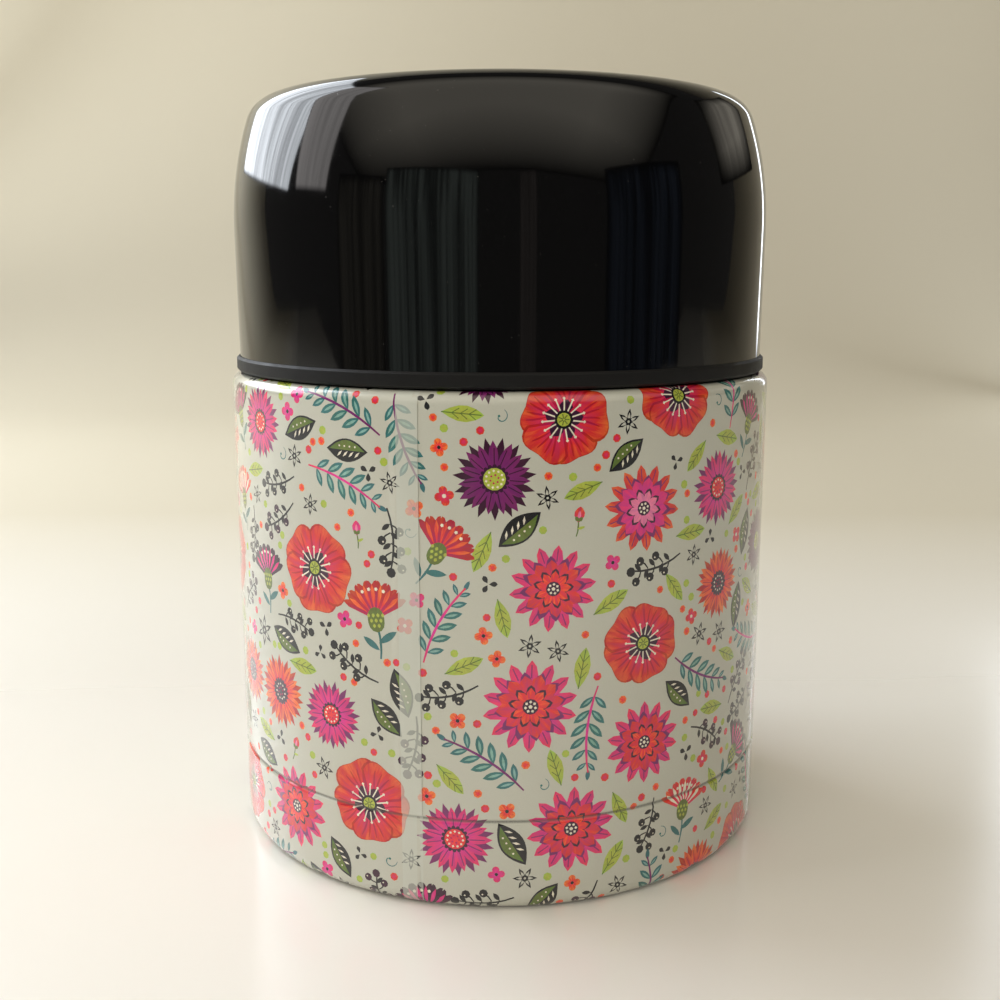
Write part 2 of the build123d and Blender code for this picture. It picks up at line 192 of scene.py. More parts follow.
class StopperSizes(bpy.types.PropertyGroup):
    """Screw stopper with its fluted grip and vent valve."""
    plug_clearance: length("Plug clearance", 1.2, "Between the plug and the mouth")
    plug_wall: length("Plug wall", 2.0, "Thickness of the plug")
    plug_depth: length("Plug depth", 12.0, "Below the drinking edge")
    plug_chamfer: length("Plug chamfer", 1.2, "Lower edge of the plug")
    gasket_t: length("Gasket", 1.2, "Thickness of the gasket")
    gasket_inset: length("Gasket inset", 0.2, "The flange reaches past the gasket")
    slip: length("Slip", 0.04, "Between the gasket and the plug that turns in it")
    flange_room: length("Flange room", 1.6, "Between the flange and the lid's skirt")
    flange_t: length("Flange", 2.0, "Thickness of the flange")
    tube_bore_r: length("Tube bore", 3.2, "Radius of the air passage")
    tube_wall: length("Tube wall", 1.8, "Wall of the air passage")
    foam_slack: length("Foam slack", 0.2, "Around the foam")
    cover_step: length("Cover step", 1.6, "Flange left bare around the cover")
    cover_t: length("Cover", 2.0, "Thickness of the cover's plate")
    grip_r: length("Grip radius", 29.0, "Foot of the grip")
    grip_h: length("Grip height", 5.3, "Above the cover's plate")
    grip_draft: FloatProperty(name="Grip draft", description="The grip leans in",
                              default=math.radians(4.0), unit="ROTATION")
    grip_edge_r: length("Grip edge", 1.6, "Rounded upper edge of the grip")
    grip_wall: length("Grip wall", 2.2, "Thickness of the hollow grip")
    flutes: IntProperty(name="Flutes", description="Finger flutes round the grip",
                        default=12, min=3)
    flute_r: length("Flute radius", 4.5, "Radius of each flute")
    flute_depth: length("Flute depth", 2.2, "Depth of each flute")
    well_r: length("Well radius", 10.5, "Bore that the button slides in")
    button_clearance: length("Button clearance", 0.3, "Around the button")
    button_sink: length("Button sink", 0.2, "Button's top below the grip's top")
    button_dish: length("Button dish", 0.5, "Finger hollow in the button")
    button_lip: length("Button lip", 2.2, "Border round the finger hollow")
    button_h: length("Button height", 3.5, "Height of the button")
    button_wall: length("Button wall", 1.2, "Wall of the button")
    stem_r: length("Stem radius", 2.0, "Valve stem")
    socket_wall: length("Socket wall", 1.3, "Socket that holds the stem")
    socket_h: length("Socket height", 1.6, "Socket that holds the stem")
    head_r: length("Valve head radius", 7.0, "Disc under the plug")
    head_t: length("Valve head", 1.1, "Thickness of the valve head")
    seal_r: length("Valve seal radius", 6.3, "Silicone ring on the valve head")
    seal_t: length("Valve seal", 1.0, "Thickness of the silicone ring")
    spring_wire_r: length("Spring wire", 0.25, "Radius of the spring's wire")
    spring_r: length("Spring radius", 6.0, "Middle of the wire from the axis")
    spring_turns: FloatProperty(name="Spring turns", description="Free turns", default=2.5)
    push: length("Push", 1.5, "Travel of the vent button")
    ease: length("Ease", 0.4, "Small round on moulded edges")


class ThreadSizes(bpy.types.PropertyGroup):
    """Ridges of both screw threads."""
    height: length("Height", 0.5, "How far a ridge stands out")
    sunk: length("Sunk", 0.06, "How far a ridge reaches into its wall")
    lid_lead: length("Lid lead", 4.0, "Rise of the lid in one turn")
    neck_w: length("Neck ridge", 2.0, "Width of the neck's ridge")
    neck_up: length("Neck ridge start", 0.6, "Above the top of the rim ring")
    neck_turns: FloatProperty(name="Neck turns", description="Length of the neck's ridge",
                              default=0.9)
    skirt_w: length("Skirt ridge", 1.6, "Width of the ridge in the lid")
    skirt_up: length("Skirt ridge start", 3.0, "Above the top of the rim ring")
    skirt_turns: FloatProperty(name="Skirt turns", description="Length of the lid's ridge",
                               default=1.2)
    skirt_start: FloatProperty(name="Skirt start", description="Turn at the lid ridge's start",
                               default=2.0, unit="ROTATION")
    plug_lead: length("Plug lead", 12.0, "Rise of the stopper in one turn")
    starts: IntProperty(name="Starts", description="Ridges round the plug", default=4, min=1)
    start_sweep: FloatProperty(name="Start sweep",
                               description="Length of each of the plug's ridges",
                               default=math.radians(62), unit="ROTATION")
    plug_w: length("Plug ridge", 1.6, "Width of the plug's ridges")
    plug_up: length("Plug ridge start", 3.0, "Above the plug's foot")
    mouth_w: length("Mouth ridge", 1.8, "Width of the mouth's ridges")
    mouth_up: length("Mouth ridge start", 5.6, "Above the plug's foot")
    mouth_turn: FloatProperty(name="Mouth turn", description="Share of a start that the mouth's "
                              "ridges are ahead of the plug's", default=0.45)


class PrintLook(bpy.types.PropertyGroup):
    """Flower print of the film."""
    seed: IntProperty(name="Seed", description="Layout of the flowers", default=11)
    tolerance: length("Tolerance", 0.06, "Outline points nearer than this to a straight line go")
    strip: length("Strip", 4.4, "Width of the flat strips that make up the round wall")
    ground: paint("Ground", 200, 200, 187, "Pale ground of the print")
    coral: paint("Coral", 226, 48, 60, "Ink")
    red: paint("Red", 190, 26, 48, "Ink")
    pink: paint("Pink", 230, 50, 130, "Ink")
    rose: paint("Rose", 244, 130, 160, "Ink")
    purple: paint("Purple", 124, 38, 108, "Ink")
    plum: paint("Plum", 62, 24, 52, "Ink")
    orange: paint("Orange", 242, 96, 48, "Ink")
    lime: paint("Lime", 172, 192, 76, "Ink")
    olive: paint("Olive", 96, 120, 52, "Ink")
    teal: paint("Teal", 56, 116, 118, "Ink")
    mist: paint("Mist", 134, 180, 172, "Ink")
    black: paint("Black", 24, 24, 28, "Ink")
    cream: paint("Cream", 242, 236, 214, "Ink")
    veil: paint("Veil", 206, 210, 200, "Clear flap over the print below it")


class FinishLook(bpy.types.PropertyGroup):
    """Colours of the materials."""
    steel: paint("Steel", 206, 206, 204, "Brushed stainless steel")
    vessel: paint("Vessel steel", 214, 214, 212, "Inside of the vessel and the lip")
    solder: paint("Solder", 176, 176, 174, "Bead of the vacuum seal")
    gloss: paint("Lid", 6, 6, 7, "High-gloss black of the shell and the button")
    rim: paint("Rim", 16, 16, 17, "Matte charcoal of the ring")
    bowl: paint("Bowl", 30, 31, 32, "Satin black of the bowl and the plug")
    cover: paint("Cover", 42, 44, 45, "Matte charcoal of the stopper's cover")
    foam: paint("Foam", 238, 238, 234, "Closed-cell foam")
    silicone: paint("Silicone", 196, 200, 198, "Gasket and valve seal")
    wire: paint("Spring", 190, 190, 188, "Spring wire")


class StageLook(bpy.types.PropertyGroup):
    """Floor, backdrop, lamps and camera."""
    floor: paint("Floor", 241, 238, 231, "Pale table")
    wall: paint("Wall", 211, 203, 183, "Backdrop")
    window: FloatProperty(name="Window", description="Bright window behind the left", default=7.0)
    curtain: FloatProperty(name="Curtain", description="Curtained window at the left", default=2.2)
    ceiling: FloatProperty(name="Ceiling", description="Lit ceiling above the front", default=1.0)
    side_wall: FloatProperty(name="Side wall", description="Dim wall at the right", default=0.8)
    doorway: FloatProperty(name="Doorway", description="Dim opening in front", default=0.35)
    drape: FloatProperty(name="Drape", description="Dim cloth beside the opening", default=0.16)
    post: FloatProperty(name="Post", description="Dim post at the right of the opening",
                        default=0.20)
    pane: FloatProperty(name="Pane", description="Dim bluish pane at the right", default=0.12)
    bright_gap: FloatProperty(name="Gap", description="Bright gap behind the right", default=5.0)
    fill_power: FloatProperty(name="Fill", description="Soft light from the front",
                              default=2.0, unit="POWER")
    wash_power: FloatProperty(name="Wash", description="Light on the backdrop from the left",
                              default=14.4, unit="POWER")
    world: FloatProperty(name="World", description="Strength of the surroundings", default=0.06)
    camera_y: FloatProperty(name="Camera distance", description="In front of the axis",
                            default=-0.23155, unit="LENGTH")
    camera_z: length("Camera height", 103.26, "Above the floor")
    camera_pitch: FloatProperty(name="Camera pitch", description="Downwards",
                                default=math.radians(10.78), unit="ROTATION")
    camera_lens: FloatProperty(name="Lens", description="On a 36 mm sensor", default=43.44,
                               unit="CAMERA")


# ---- Outlines ----

def bent(points, chord=1.5 * MM):
    """Line through points (r, z) or (r, z, bend).

    A bend is an arc tangent to both of its legs: its centre lies on the bisector of the legs,
    bend / sin(half their angle) from the corner, and no step of it is longer than chord or
    turns by more than ARC_STEP.
    """
    corners = np.array([p[:2] for p in points])
    line = []
    for i, point in enumerate(points):
        if len(point) < 3 or point[2] <= 0:
            line.append(corners[i][None])
            continue
        back = corners[i - 1] - corners[i]
        ahead = corners[(i + 1) % len(points)] - corners[i]
        back, ahead = back / np.hypot(*back), ahead / np.hypot(*ahead)
        half = math.acos(np.clip(back @ ahead, -1, 1)) / 2
        bisector = (back + ahead) / np.hypot(*(back + ahead))
        centre = corners[i] + bisector * point[2] / math.sin(half)
        first = corners[i] + back * point[2] / math.tan(half) - centre
        last = corners[i] + ahead * point[2] / math.tan(half) - centre
        turn = math.atan2(first[0] * last[1] - first[1] * last[0], first @ last)
        steps = max(2, math.ceil(abs(turn) / ARC_STEP), math.ceil(abs(turn) * point[2] / chord))
        angle = math.atan2(first[1], first[0]) + np.linspace(0, turn, steps + 1)
        line.append(centre + point[2] * np.stack([np.cos(angle), np.sin(angle)], 1))
    return np.concatenate(line)


def unit_legs(corners):
    """Directions of the legs between corners, and their lengths."""
    legs = np.diff(corners, axis=0)
    lengths = np.hypot(legs[:, 0], legs[:, 1])
    return legs / lengths[:, None], lengths


def sheet(points, wall):
    """Outline of a sheet of one thickness: the line through the points, and back along the same
    line moved by wall to its left. Each corner moves along its mitre, and its bend grows or
    shrinks by the wall."""
    corners = np.array([p[:2] for p in points])
    legs, _ = unit_legs(corners)
    left = np.stack([-legs[:, 1], legs[:, 0]], 1)
    moved = [tuple(corners[0] + left[0] * wall)]
    for i, point in enumerate(points[1:-1], start=1):
        mitre = (left[i - 1] + left[i]) / (1 + left[i - 1] @ left[i])
        turn = legs[i - 1][0] * legs[i][1] - legs[i - 1][1] * legs[i][0]
        bend = point[2] - wall * math.copysign(1, turn) if len(point) > 2 else 0
        moved.append((*(corners[i] + mitre * wall), max(bend, 0)))
    moved.append(tuple(corners[-1] + left[-1] * wall))
    return np.concatenate([bent(points), bent(moved)[::-1]])


def arc_from(start, heading, radius, turn, chord=1.0 * MM):
    """Arc that leaves start along heading and turns left by turn: its points, and the heading
    at its end. Its centre lies radius to the left of the start."""
    centre = start + radius * np.array([-math.sin(heading), math.cos(heading)])
    steps = max(2, math.ceil(turn / ARC_STEP), math.ceil(turn * radius / chord))
    angle = heading - math.pi / 2 + np.linspace(0, turn, steps + 1)
    return centre + radius * np.stack([np.cos(angle), np.sin(angle)], 1), heading + turn


def straight(start, end, chord=2.0 * MM):
    """Evenly spaced points of a straight leg."""
    steps = max(1, math.ceil(np.hypot(*(np.array(end) - start)) / chord))
    return np.array(start) + (np.array(end) - start) * np.linspace(0, 1, steps + 1)[:, None]


# ---- Meshes ----

def scene():
    """The scene, which holds every group of settings."""
    return bpy.context.scene


def added(name, data):
    """A new object of the scene that holds data."""
    thing = bpy.data.objects.new(name, data)
    bpy.context.scene.collection.objects.link(thing)
    return thing


def piece(name, points, faces, body, slot, material, replaces=(), smooth=True):
    """A mesh object that rides on a body, from points (n, 3) in metres and its faces."""
    mesh = bpy.data.meshes.new(name)
    mesh.from_pydata(points.tolist(), [], faces)
    mesh.validate()
    mesh.update()
    mesh.materials.append(material)
    if smooth:
        mesh.shade_smooth()
        mesh.set_sharp_from_angle(angle=SHARP_EDGE)
    thing = added(name, mesh)
    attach(thing, body)
    if replaces:
        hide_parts(*replaces)
    return thing


def quads_of(numbers):
    """Quads of a grid of point numbers, as rows of four."""
    quads = np.stack([numbers[:-1, :-1], numbers[:-1, 1:], numbers[1:, 1:], numbers[1:, :-1]], -1)
    return quads.reshape(-1, 4)


def faces_of(quads):
    """Quads as a list of faces; one with two equal corners becomes a triangle."""
    low = quads[:, 0] == quads[:, 1]
    high = quads[:, 2] == quads[:, 3]
    return (quads[~low & ~high].tolist() + quads[low & ~high][:, [0, 2, 3]].tolist()
            + quads[high & ~low][:, :3].tolist())


def revolved(outline, angles=256, reach=None):
    """Points and faces of a closed outline (r, z) carried round the Z axis.

    A point of the surface is (r cos a, r sin a, z). Points on the axis become one pole. Where
    reach is given, r is no more than reach(a, z).
    """
    if isinstance(angles, int):
        angles = np.arange(angles) * 2 * math.pi / angles
    following = np.roll(outline, -1, axis=0)
    outline = outline[np.hypot(*(following - outline).T) > SAME_POINT]
    following = np.roll(outline, -1, axis=0)
    if (outline[:, 0] * following[:, 1] - following[:, 0] * outline[:, 1]).sum() < 0:
        outline = outline[::-1]
    radius = np.repeat(outline[:, :1], len(angles), axis=1)
    height = np.repeat(outline[:, 1:], len(angles), axis=1)
    if reach is not None:
        radius = np.minimum(radius, reach(angles[None, :], height))
    points = np.stack([radius * np.cos(angles), radius * np.sin(angles), height], -1)
    numbers = np.arange(radius.size).reshape(radius.shape)
    pole = outline[:, 0] < SAME_POINT
    numbers[pole] = numbers[pole, :1]
    numbers = np.concatenate([numbers, numbers[:, :1]], axis=1)
    numbers = np.concatenate([numbers, numbers[:1]], axis=0)
    off_axis = ~(pole & np.roll(pole, -1))
    quads = quads_of(numbers).reshape(len(outline), -1, 4)[off_axis].reshape(-1, 4)
    used, quads = np.unique(quads, return_inverse=True)
    return points.reshape(-1, 3)[used], faces_of(quads.reshape(-1, 4))


def swept(points, turned):
    """Points and faces of a closed profile carried along a path, from a grid (place along the
    path, place on the profile, 3). Each end is one face. Turned swaps inside and outside."""
    numbers = np.arange(points.shape[0] * points.shape[1]).reshape(points.shape[:2])
    numbers = np.concatenate([numbers, numbers[:, :1]], axis=1)
    faces = faces_of(quads_of(numbers))
    faces += [numbers[0, :-1][::-1].tolist(), numbers[-1, :-1].tolist()]
    if turned:
        faces = [face[::-1] for face in faces]
    return points.reshape(-1, 3), faces


def ridge(radius, height, width, foot_z, rise, sweep, start=0.0):
    """Points and faces of a helical ridge on a round wall.

    Across the helix it stands height cos^2(pi s / 2) off the wall, with s from -1 to 1 over its
    width. Along it the height swells from nothing in the first eighth and fades in the last.
    A negative height makes a ridge on the inside of a bore.
    """
    steps = math.ceil(sweep / RIDGE_STEP)
    along = np.linspace(0, 1, steps + 1)[:, None]
    across = np.linspace(-1, 1, RIDGE_POINTS)[None, :]
    swell = np.clip(np.minimum(along, 1 - along) / RIDGE_FADE, RIDGE_TIP, 1)
    swell = swell * swell * (3 - 2 * swell)
    sunk = math.copysign(scene().jar_threads.sunk, height)
    reach = radius - sunk + (height + sunk) * np.cos(math.pi * across / 2) ** 2 * swell
    angle = start + sweep * along + 0 * across
    z = foot_z + rise * along + width / 2 * across
    points = np.stack([reach * np.cos(angle), reach * np.sin(angle), z], -1)
    return swept(points, turned=height > 0)


def several(parts):
    """Joins lists of points and faces into one."""
    points, faces, count = [], [], 0
    for more, sides in parts:
        points.append(more)
        faces += [[number + count for number in face] for face in sides]
        count += len(more)
    return np.concatenate(points), faces


# ---- Shader nodes ----

class Wire:
    """A value in a node tree. Arithmetic on it adds Math nodes."""

    def __init__(self, tree, socket):
        self.tree = tree
        self.socket = socket

    def math(self, operation, *values):
        """A Math node on these values, of which any may be a wire."""
        node = self.tree.nodes.new("ShaderNodeMath")
        node.operation = operation
        return self.fed(node, values)

    def fed(self, node, values):
        """First output of a node whose sockets get these values in order."""
        for socket, value in zip(node.inputs, values):
            plug(self.tree, socket, value)
        return Wire(self.tree, node.outputs[0])

    def __add__(self, other):
        return self.math("ADD", self, other)

    def __sub__(self, other):
        return self.math("SUBTRACT", self, other)

    def __rsub__(self, other):
        return self.math("SUBTRACT", other, self)

    def __mul__(self, other):
        return self.math("MULTIPLY", self, other)

    def __truediv__(self, other):
        return self.math("DIVIDE", self, other)

    def __pow__(self, other):
        return self.math("POWER", self, other)

    def __abs__(self):
        return self.math("ABSOLUTE", self)

    def __gt__(self, other):
        return self.math("GREATER_THAN", self, other)

    __radd__ = __add__
    __rmul__ = __mul__

    def span(self, low, high, to_low=0.0, to_high=1.0):
        """Rescales low..high to to_low..to_high, without going past them."""
        node = self.tree.nodes.new("ShaderNodeMapRange")
        return self.fed(node, (self, low, high, to_low, to_high))


def plug(tree, socket, value):
    """Links a wire to a socket, or sets the socket to a plain value."""
    if isinstance(value, Wire):
        tree.links.new(value.socket, socket)
    elif hasattr(socket.default_value, "__len__"):
        socket.default_value = (*value, 1.0)[:len(socket.default_value)]
    else:
        socket.default_value = value


class Finish:
    """A material under construction."""

    def __init__(self, name):
        self.material = bpy.data.materials.new(name)
        self.material.use_nodes = True
        self.tree = self.material.node_tree
        self.tree.nodes.clear()

    def node(self, kind, settings=None, inputs=None, output=0):
        """Adds a node: its settings first, then its sockets. The result is one output."""
        node = self.tree.nodes.new(kind)
        for key, value in (settings or {}).items():
            if key == "stops":
                set_stops(node.color_ramp, value)
            else:
                setattr(node, key, value)
        for key, value in (inputs or {}).items():
            plug(self.tree, node.inputs[key], value)
        return Wire(self.tree, node.outputs[output])

    def place(self):
        """Object coordinates, in metres."""
        return self.node("ShaderNodeTexCoord", output="Object")

    def scaled(self, vector, x, y, z):
        """The vector, each component times its own factor."""
        return self.node("ShaderNodeVectorMath", {"operation": "MULTIPLY"},
                         {0: vector, 1: (x, y, z)})

    def parts(self, vector):
        """The three components of a vector."""
        node = self.tree.nodes.new("ShaderNodeSeparateXYZ")
        plug(self.tree, node.inputs[0], vector)
        return [Wire(self.tree, output) for output in node.outputs]

    def join(self, x, y, z):
        """A vector from its three components."""
        return self.node("ShaderNodeCombineXYZ", inputs={0: x, 1: y, 2: z})

    def noise(self, vector, scale, detail=2.0, roughness=0.5):
        """Cloudy noise from 0 to 1."""
        return self.node("ShaderNodeTexNoise", inputs={
            "Vector": vector, "Scale": scale, "Detail": detail, "Roughness": roughness})

    def mix(self, share, first, second, blend="MIX"):
        """Mixes two colours."""
        return self.node("ShaderNodeMix", {"data_type": "RGBA", "blend_type": blend},
                         {0: share, 6: first, 7: second}, output=2)

    def toned(self, colour, tone):
        """The colour made darker or lighter by a factor."""
        return self.mix(1.0, colour, self.join(tone, tone, tone), "MULTIPLY")

    def bump(self, height, distance, strength):
        """A normal that follows the slopes of a height."""
        return self.node("ShaderNodeBump", inputs={
            "Height": height, "Distance": distance, "Strength": strength})

    def surface(self, **inputs):
        """Ends the material in a Principled shader. Names use _ for a space."""
        named = {key.replace("_", " "): value for key, value in inputs.items()}
        return self.close(self.node("ShaderNodeBsdfPrincipled", inputs=named))

    def close(self, shader):
        """Leads a shader to the material's output."""
        output = self.tree.nodes.new("ShaderNodeOutputMaterial")
        self.tree.links.new(shader.socket, output.inputs["Surface"])
        return self.material


def set_stops(ramp, stops):
    """Gives a ramp hard steps at these (position, colour) stops."""
    ramp.interpolation = "CONSTANT"
    while len(ramp.elements) < len(stops):
        ramp.elements.new(1.0)
    for element, (position, colour) in zip(ramp.elements, stops):
        element.position = position
        element.color = (*colour, 1.0)


# ---- Finishes ----

_made = {}


def finish(name):
    """The material of that name, made on first use."""
    if name not in _made:
        _made[name] = FINISHES[name](scene().jar_finish)
    return _made[name]


def around_axis(make):
    """Radius, turn and height of a point, as wires."""
    x, y, z = make.parts(make.place())
    return (x * x + y * y) ** 0.5, x.math("ARCTAN2", x, y), z


def brushed(name, colour, base_rough):
    """Steel brushed round its axis: streaks that are long in the turn and short in r and z,
    with a few deeper hairlines and soft patches."""
    make = Finish(name)
    radius, turn, z = around_axis(make)
    fine = make.noise(make.join(radius * 9000, z * 9000, turn * 5.0), 1.0, 3.0, 0.6)
    hair = make.noise(make.join(radius * 2600, z * 2600, turn * 1.6), 1.0, 2.0, 0.5)
    patch = make.noise(make.place(), 90.0, 2.0)
    lines = fine * 0.6 + hair * 0.4
    tone = lines.span(0.3, 0.7, 0.90, 1.06) * patch.span(0.3, 0.7, 0.96, 1.02)
    return make.surface(
        Base_Color=make.toned(colour, tone), Metallic=1.0,
        Roughness=(base_rough + lines.span(0.3, 0.7, -0.05, 0.07)
                   + patch.span(0.3, 0.7, -0.02, 0.03)),
        Normal=make.bump(lines, 0.00002, 0.35), Anisotropic=0.5)


def shell_steel(look):
    return brushed("brushed_shell_steel", look.steel, 0.30)


def vessel_steel(look):
    return brushed("satin_vessel_steel", look.vessel, 0.24)


def solder(look):
    """Dull metal that froze in ripples."""
    make = Finish("dull_solder")
    flow = make.noise(make.place(), 700.0, 4.0, 0.6)
    tone = flow.span(0.3, 0.7, 0.7, 1.05)
    return make.surface(
        Base_Color=make.toned(look.solder, tone),
        Metallic=1.0, Roughness=flow.span(0.3, 0.7, 0.38, 0.6), Normal=make.bump(flow, 0.0001, 0.6))


def gloss_black(look):
    """Polished moulding: faint flow waves, a few wiping marks and specks of dust."""
    make = Finish("gloss_black")
    place = make.place()
    wave = make.noise(make.scaled(place, 38.0, 38.0, 22.0), 1.0, 1.0)
    wipe = make.noise(make.scaled(place, 60.0, 60.0, 420.0), 1.0, 4.0, 0.6)
    speck = make.noise(place, 2600.0, 1.0).span(0.78, 0.83)
    dust = make.mix(speck * 0.22, look.gloss, (0.30, 0.29, 0.27))
    return make.surface(
        Base_Color=dust, Roughness=0.055 + wipe.span(0.45, 0.75, 0.0, 0.035) + speck * 0.3,
        Normal=make.bump(wave, 0.00010, 0.35), Coat_Weight=0.15, Coat_Roughness=0.03)


def moulded(name, colour, rough, grain, depth, gloss=0.5):
    """Spark-eroded moulded plastic: a fine grain, with lighter rubbed spots."""
    make = Finish(name)
    place = make.place()
    fine = make.noise(place, grain, 3.0, 0.6)
    soft = make.noise(place, grain / 14, 2.0)
    tone = fine.span(0.3, 0.7, 0.86, 1.14) * soft.span(0.3, 0.7, 0.93, 1.07)
    return make.surface(
        Base_Color=make.toned(colour, tone),
        Roughness=rough + fine.span(0.3, 0.7, -0.05, 0.05) + soft.span(0.3, 0.7, -0.04, 0.04),
        Normal=make.bump(fine, depth, 0.5), Specular_IOR_Level=gloss)


def rim_plastic(look):
    return moulded("matte_charcoal", look.rim, 0.56, 5200.0, 0.00003, 0.3)


def bowl_plastic(look):
    return moulded("satin_black", look.bowl, 0.36, 6500.0, 0.000015)


def cover_plastic(look):
    return moulded("matte_cover", look.cover, 0.48, 4200.0, 0.00003)


def foam(look):
    """Closed-cell foam: small cells with rims that stand up."""
    make = Finish("white_foam")
    place = make.place()
    cell = make.node("ShaderNodeTexVoronoi", inputs={"Vector": place, "Scale": 1400.0})
    soft = make.noise(place, 260.0, 3.0)
    tone = cell.span(0.0, 0.8, 0.84, 1.0) * soft.span(0.3, 0.7, 0.94, 1.0)
    return make.surface(
        Base_Color=make.toned(look.foam, tone),
        Roughness=cell.span(0.0, 0.8, 0.95, 0.8), Normal=make.bump(cell, 0.0002, 0.5),
        Subsurface_Weight=0.15, Subsurface_Scale=0.001)


def silicone(look):
    """Cloudy rubber with a dry skin."""
    make = Finish("silicone")
    place = make.place()
    cloud = make.noise(place, 220.0, 3.0)
    skin = make.noise(place, 4200.0, 2.0)
    tone = cloud.span(0.3, 0.7, 0.92, 1.04)
    return make.surface(
        Base_Color=make.toned(look.silicone, tone),
        Roughness=skin.span(0.3, 0.7, 0.46, 0.6), Normal=make.bump(skin, 0.00002, 0.4),
        Subsurface_Weight=0.35, Subsurface_Scale=0.002)


def spring_wire(look):
    return brushed("spring_wire", look.wire, 0.28)


def printed_film(_):
    """Glossy film over flat inks.

    The face attribute ink picks the ink. The corner attribute local holds a point's place in
    its own motif, in shares of the motif's size, and a number of its own: brush streaks run out
    from the middle, so they follow its direction more than its distance. The face attribute
    veil is 1 on the clear flap, which clouds the print under it.
    """
    look = scene().jar_print
    make = Finish("printed_film")
    inks = [tuple(getattr(look, name)) for name in INKS]
    stops = [(max(i - 0.5, 0) / len(inks), ink) for i, ink in enumerate(inks)]
    ink = make.node("ShaderNodeAttribute", {"attribute_name": "ink"}, output="Fac")
    colour = make.node("ShaderNodeValToRGB", {"stops": stops}, {0: ink / float(len(inks))})
    local = make.node("ShaderNodeAttribute", {"attribute_name": "local"}, output="Vector")
    x, y, own = make.parts(local)
    far = (x * x + y * y) ** 0.5
    heading = make.join(x / (far + 0.02) * 5.0, y / (far + 0.02) * 5.0, far * 1.3 + own * 400.0)
    streak = make.noise(heading, 1.0, 3.0, 0.65)
    painted = ink > 0.5
    place = make.place()
    blot = make.noise(place, 330.0, 2.0)
    grain = make.noise(place, 5200.0, 2.0, 0.7)
    shade = 1.0 + painted * (streak.span(0.3, 0.7, -0.20, 0.16) + blot.span(0.3, 0.7, -0.06, 0.06))
    shade = shade * grain.span(0.2, 0.8, 0.965, 1.035)
    hue = 0.5 + painted * (streak.span(0.35, 0.65, -0.014, 0.014)
                           + far.span(0.2, 1.0, -0.022, 0.020))
    colour = make.node("ShaderNodeHueSaturation",
                       inputs={"Hue": hue, "Value": shade, "Color": colour})
    _, _, z = make.parts(place)
    # Painted shade with some dirt: a dark line, mottled by the grain, darkens the print along the
    # weld groove where the groove's own shade falls.
    weld = 1 - abs(z - scene().jar_body.groove_z).span(0.1 * MM, 0.32 * MM)
    colour = make.mix(weld * grain.span(0.3, 0.6, 0.45, 0.75), colour, (0.10, 0.10, 0.09))
    veil = make.node("ShaderNodeAttribute", {"attribute_name": "veil"}, output="Fac")
    cloud = make.noise(make.scaled(place, 160.0, 160.0, 60.0), 1.0, 3.0)
    colour = make.mix(veil * cloud.span(0.3, 0.7, 0.50, 0.66), colour, look.veil)
    wave = make.noise(make.scaled(place, 55.0, 55.0, 30.0), 1.0, 1.5)
    creep = make.noise(make.scaled(place, 260.0, 260.0, 90.0), 1.0, 2.0)
    return make.surface(
        Base_Color=colour, Roughness=0.20 + grain.span(0.2, 0.8, -0.02, 0.03) + veil * 0.05,
        Normal=make.bump(wave + creep * 0.10, 0.00016, 0.35), Coat_Weight=0.7, Coat_Roughness=0.05)


FINISHES = {
    "shell_steel": shell_steel,
    "liner_steel": vessel_steel,
    "solder": solder,
    "printed_film": printed_film,
    "lid_gloss": gloss_black,
    "rim_plastic": rim_plastic,
    "bowl_plastic": bowl_plastic,
    "foam": foam,
    "stopper_plastic": bowl_plastic,
    "cover_plastic": cover_plastic,
    "button_plastic": gloss_black,
    "silicone": silicone,
    "spring_steel": spring_wire,
}


def round_piece(name, body, slot, outline, angles=256, reach=None):
    """A turned or pressed piece that stands for the CAD node of the same name."""
    points, faces = revolved(outline, angles, reach)
    return piece(f"{name}_look", points, faces, body, slot, finish(slot), [name])


# ---- Motifs of the print ----
# A motif is a list of (closed outline, ink), lowest first. Outlines are complex numbers with
# the motif's middle at 0 and its reach at about 1.

INKS = ("ground", "coral", "red", "pink", "rose", "purple", "plum", "orange",
        "lime", "olive", "teal", "mist", "black", "cream")


def spoke(turn):
    """Unit step in the direction turn, as a complex number."""
    return np.exp(1j * turn)


def leaf(reach, width, full=1.0, blunt=0.8, steps=9):
    """From 0 to reach; half its width is width / 2 sin(pi t^full)^blunt, on both sides."""
    t = np.linspace(0, 1, steps + 1)
    half = width / 2 * np.sin(np.pi * t ** full) ** blunt
    return np.concatenate([reach * t - 1j * half, (reach * t + 1j * half)[-2:0:-1]])


def fan(reach, width, notch=0.0, steps=14):
    """Broad petal: a fan from 0 whose rim is reach (1 - notch cos^6(pi s / 2) - 0.22 s^4)."""
    s = np.linspace(-1, 1, steps + 1)
    rim = reach * (1 - notch * np.cos(np.pi * s / 2) ** 6 - 0.22 * s ** 4)
    return np.concatenate([[0j], rim * spoke(s * width / reach)])


def lobed(radius, lobes=1, depth=0.0, steps=24):
    """Closed curve whose radius is radius (1 + depth cos(lobes a))."""
    a = np.arange(steps) * 2 * np.pi / steps
    return radius * (1 + depth * np.cos(lobes * a)) * spoke(a)


def rosette(reach, inner, count, width=0.30, turn=0.0):
    """A ring of pointed petals in one outline: each has a tip at reach, two shoulders at
    reach (1 - width) and a notch at inner towards the next."""
    a = 2 * np.pi * (np.arange(count)[:, None] + np.array([-0.5, -0.26, 0.0, 0.26])) / count
    far = np.array([inner, reach * (1 - width), reach, reach * (1 - width)])
    return (far * spoke(a + turn)).ravel()


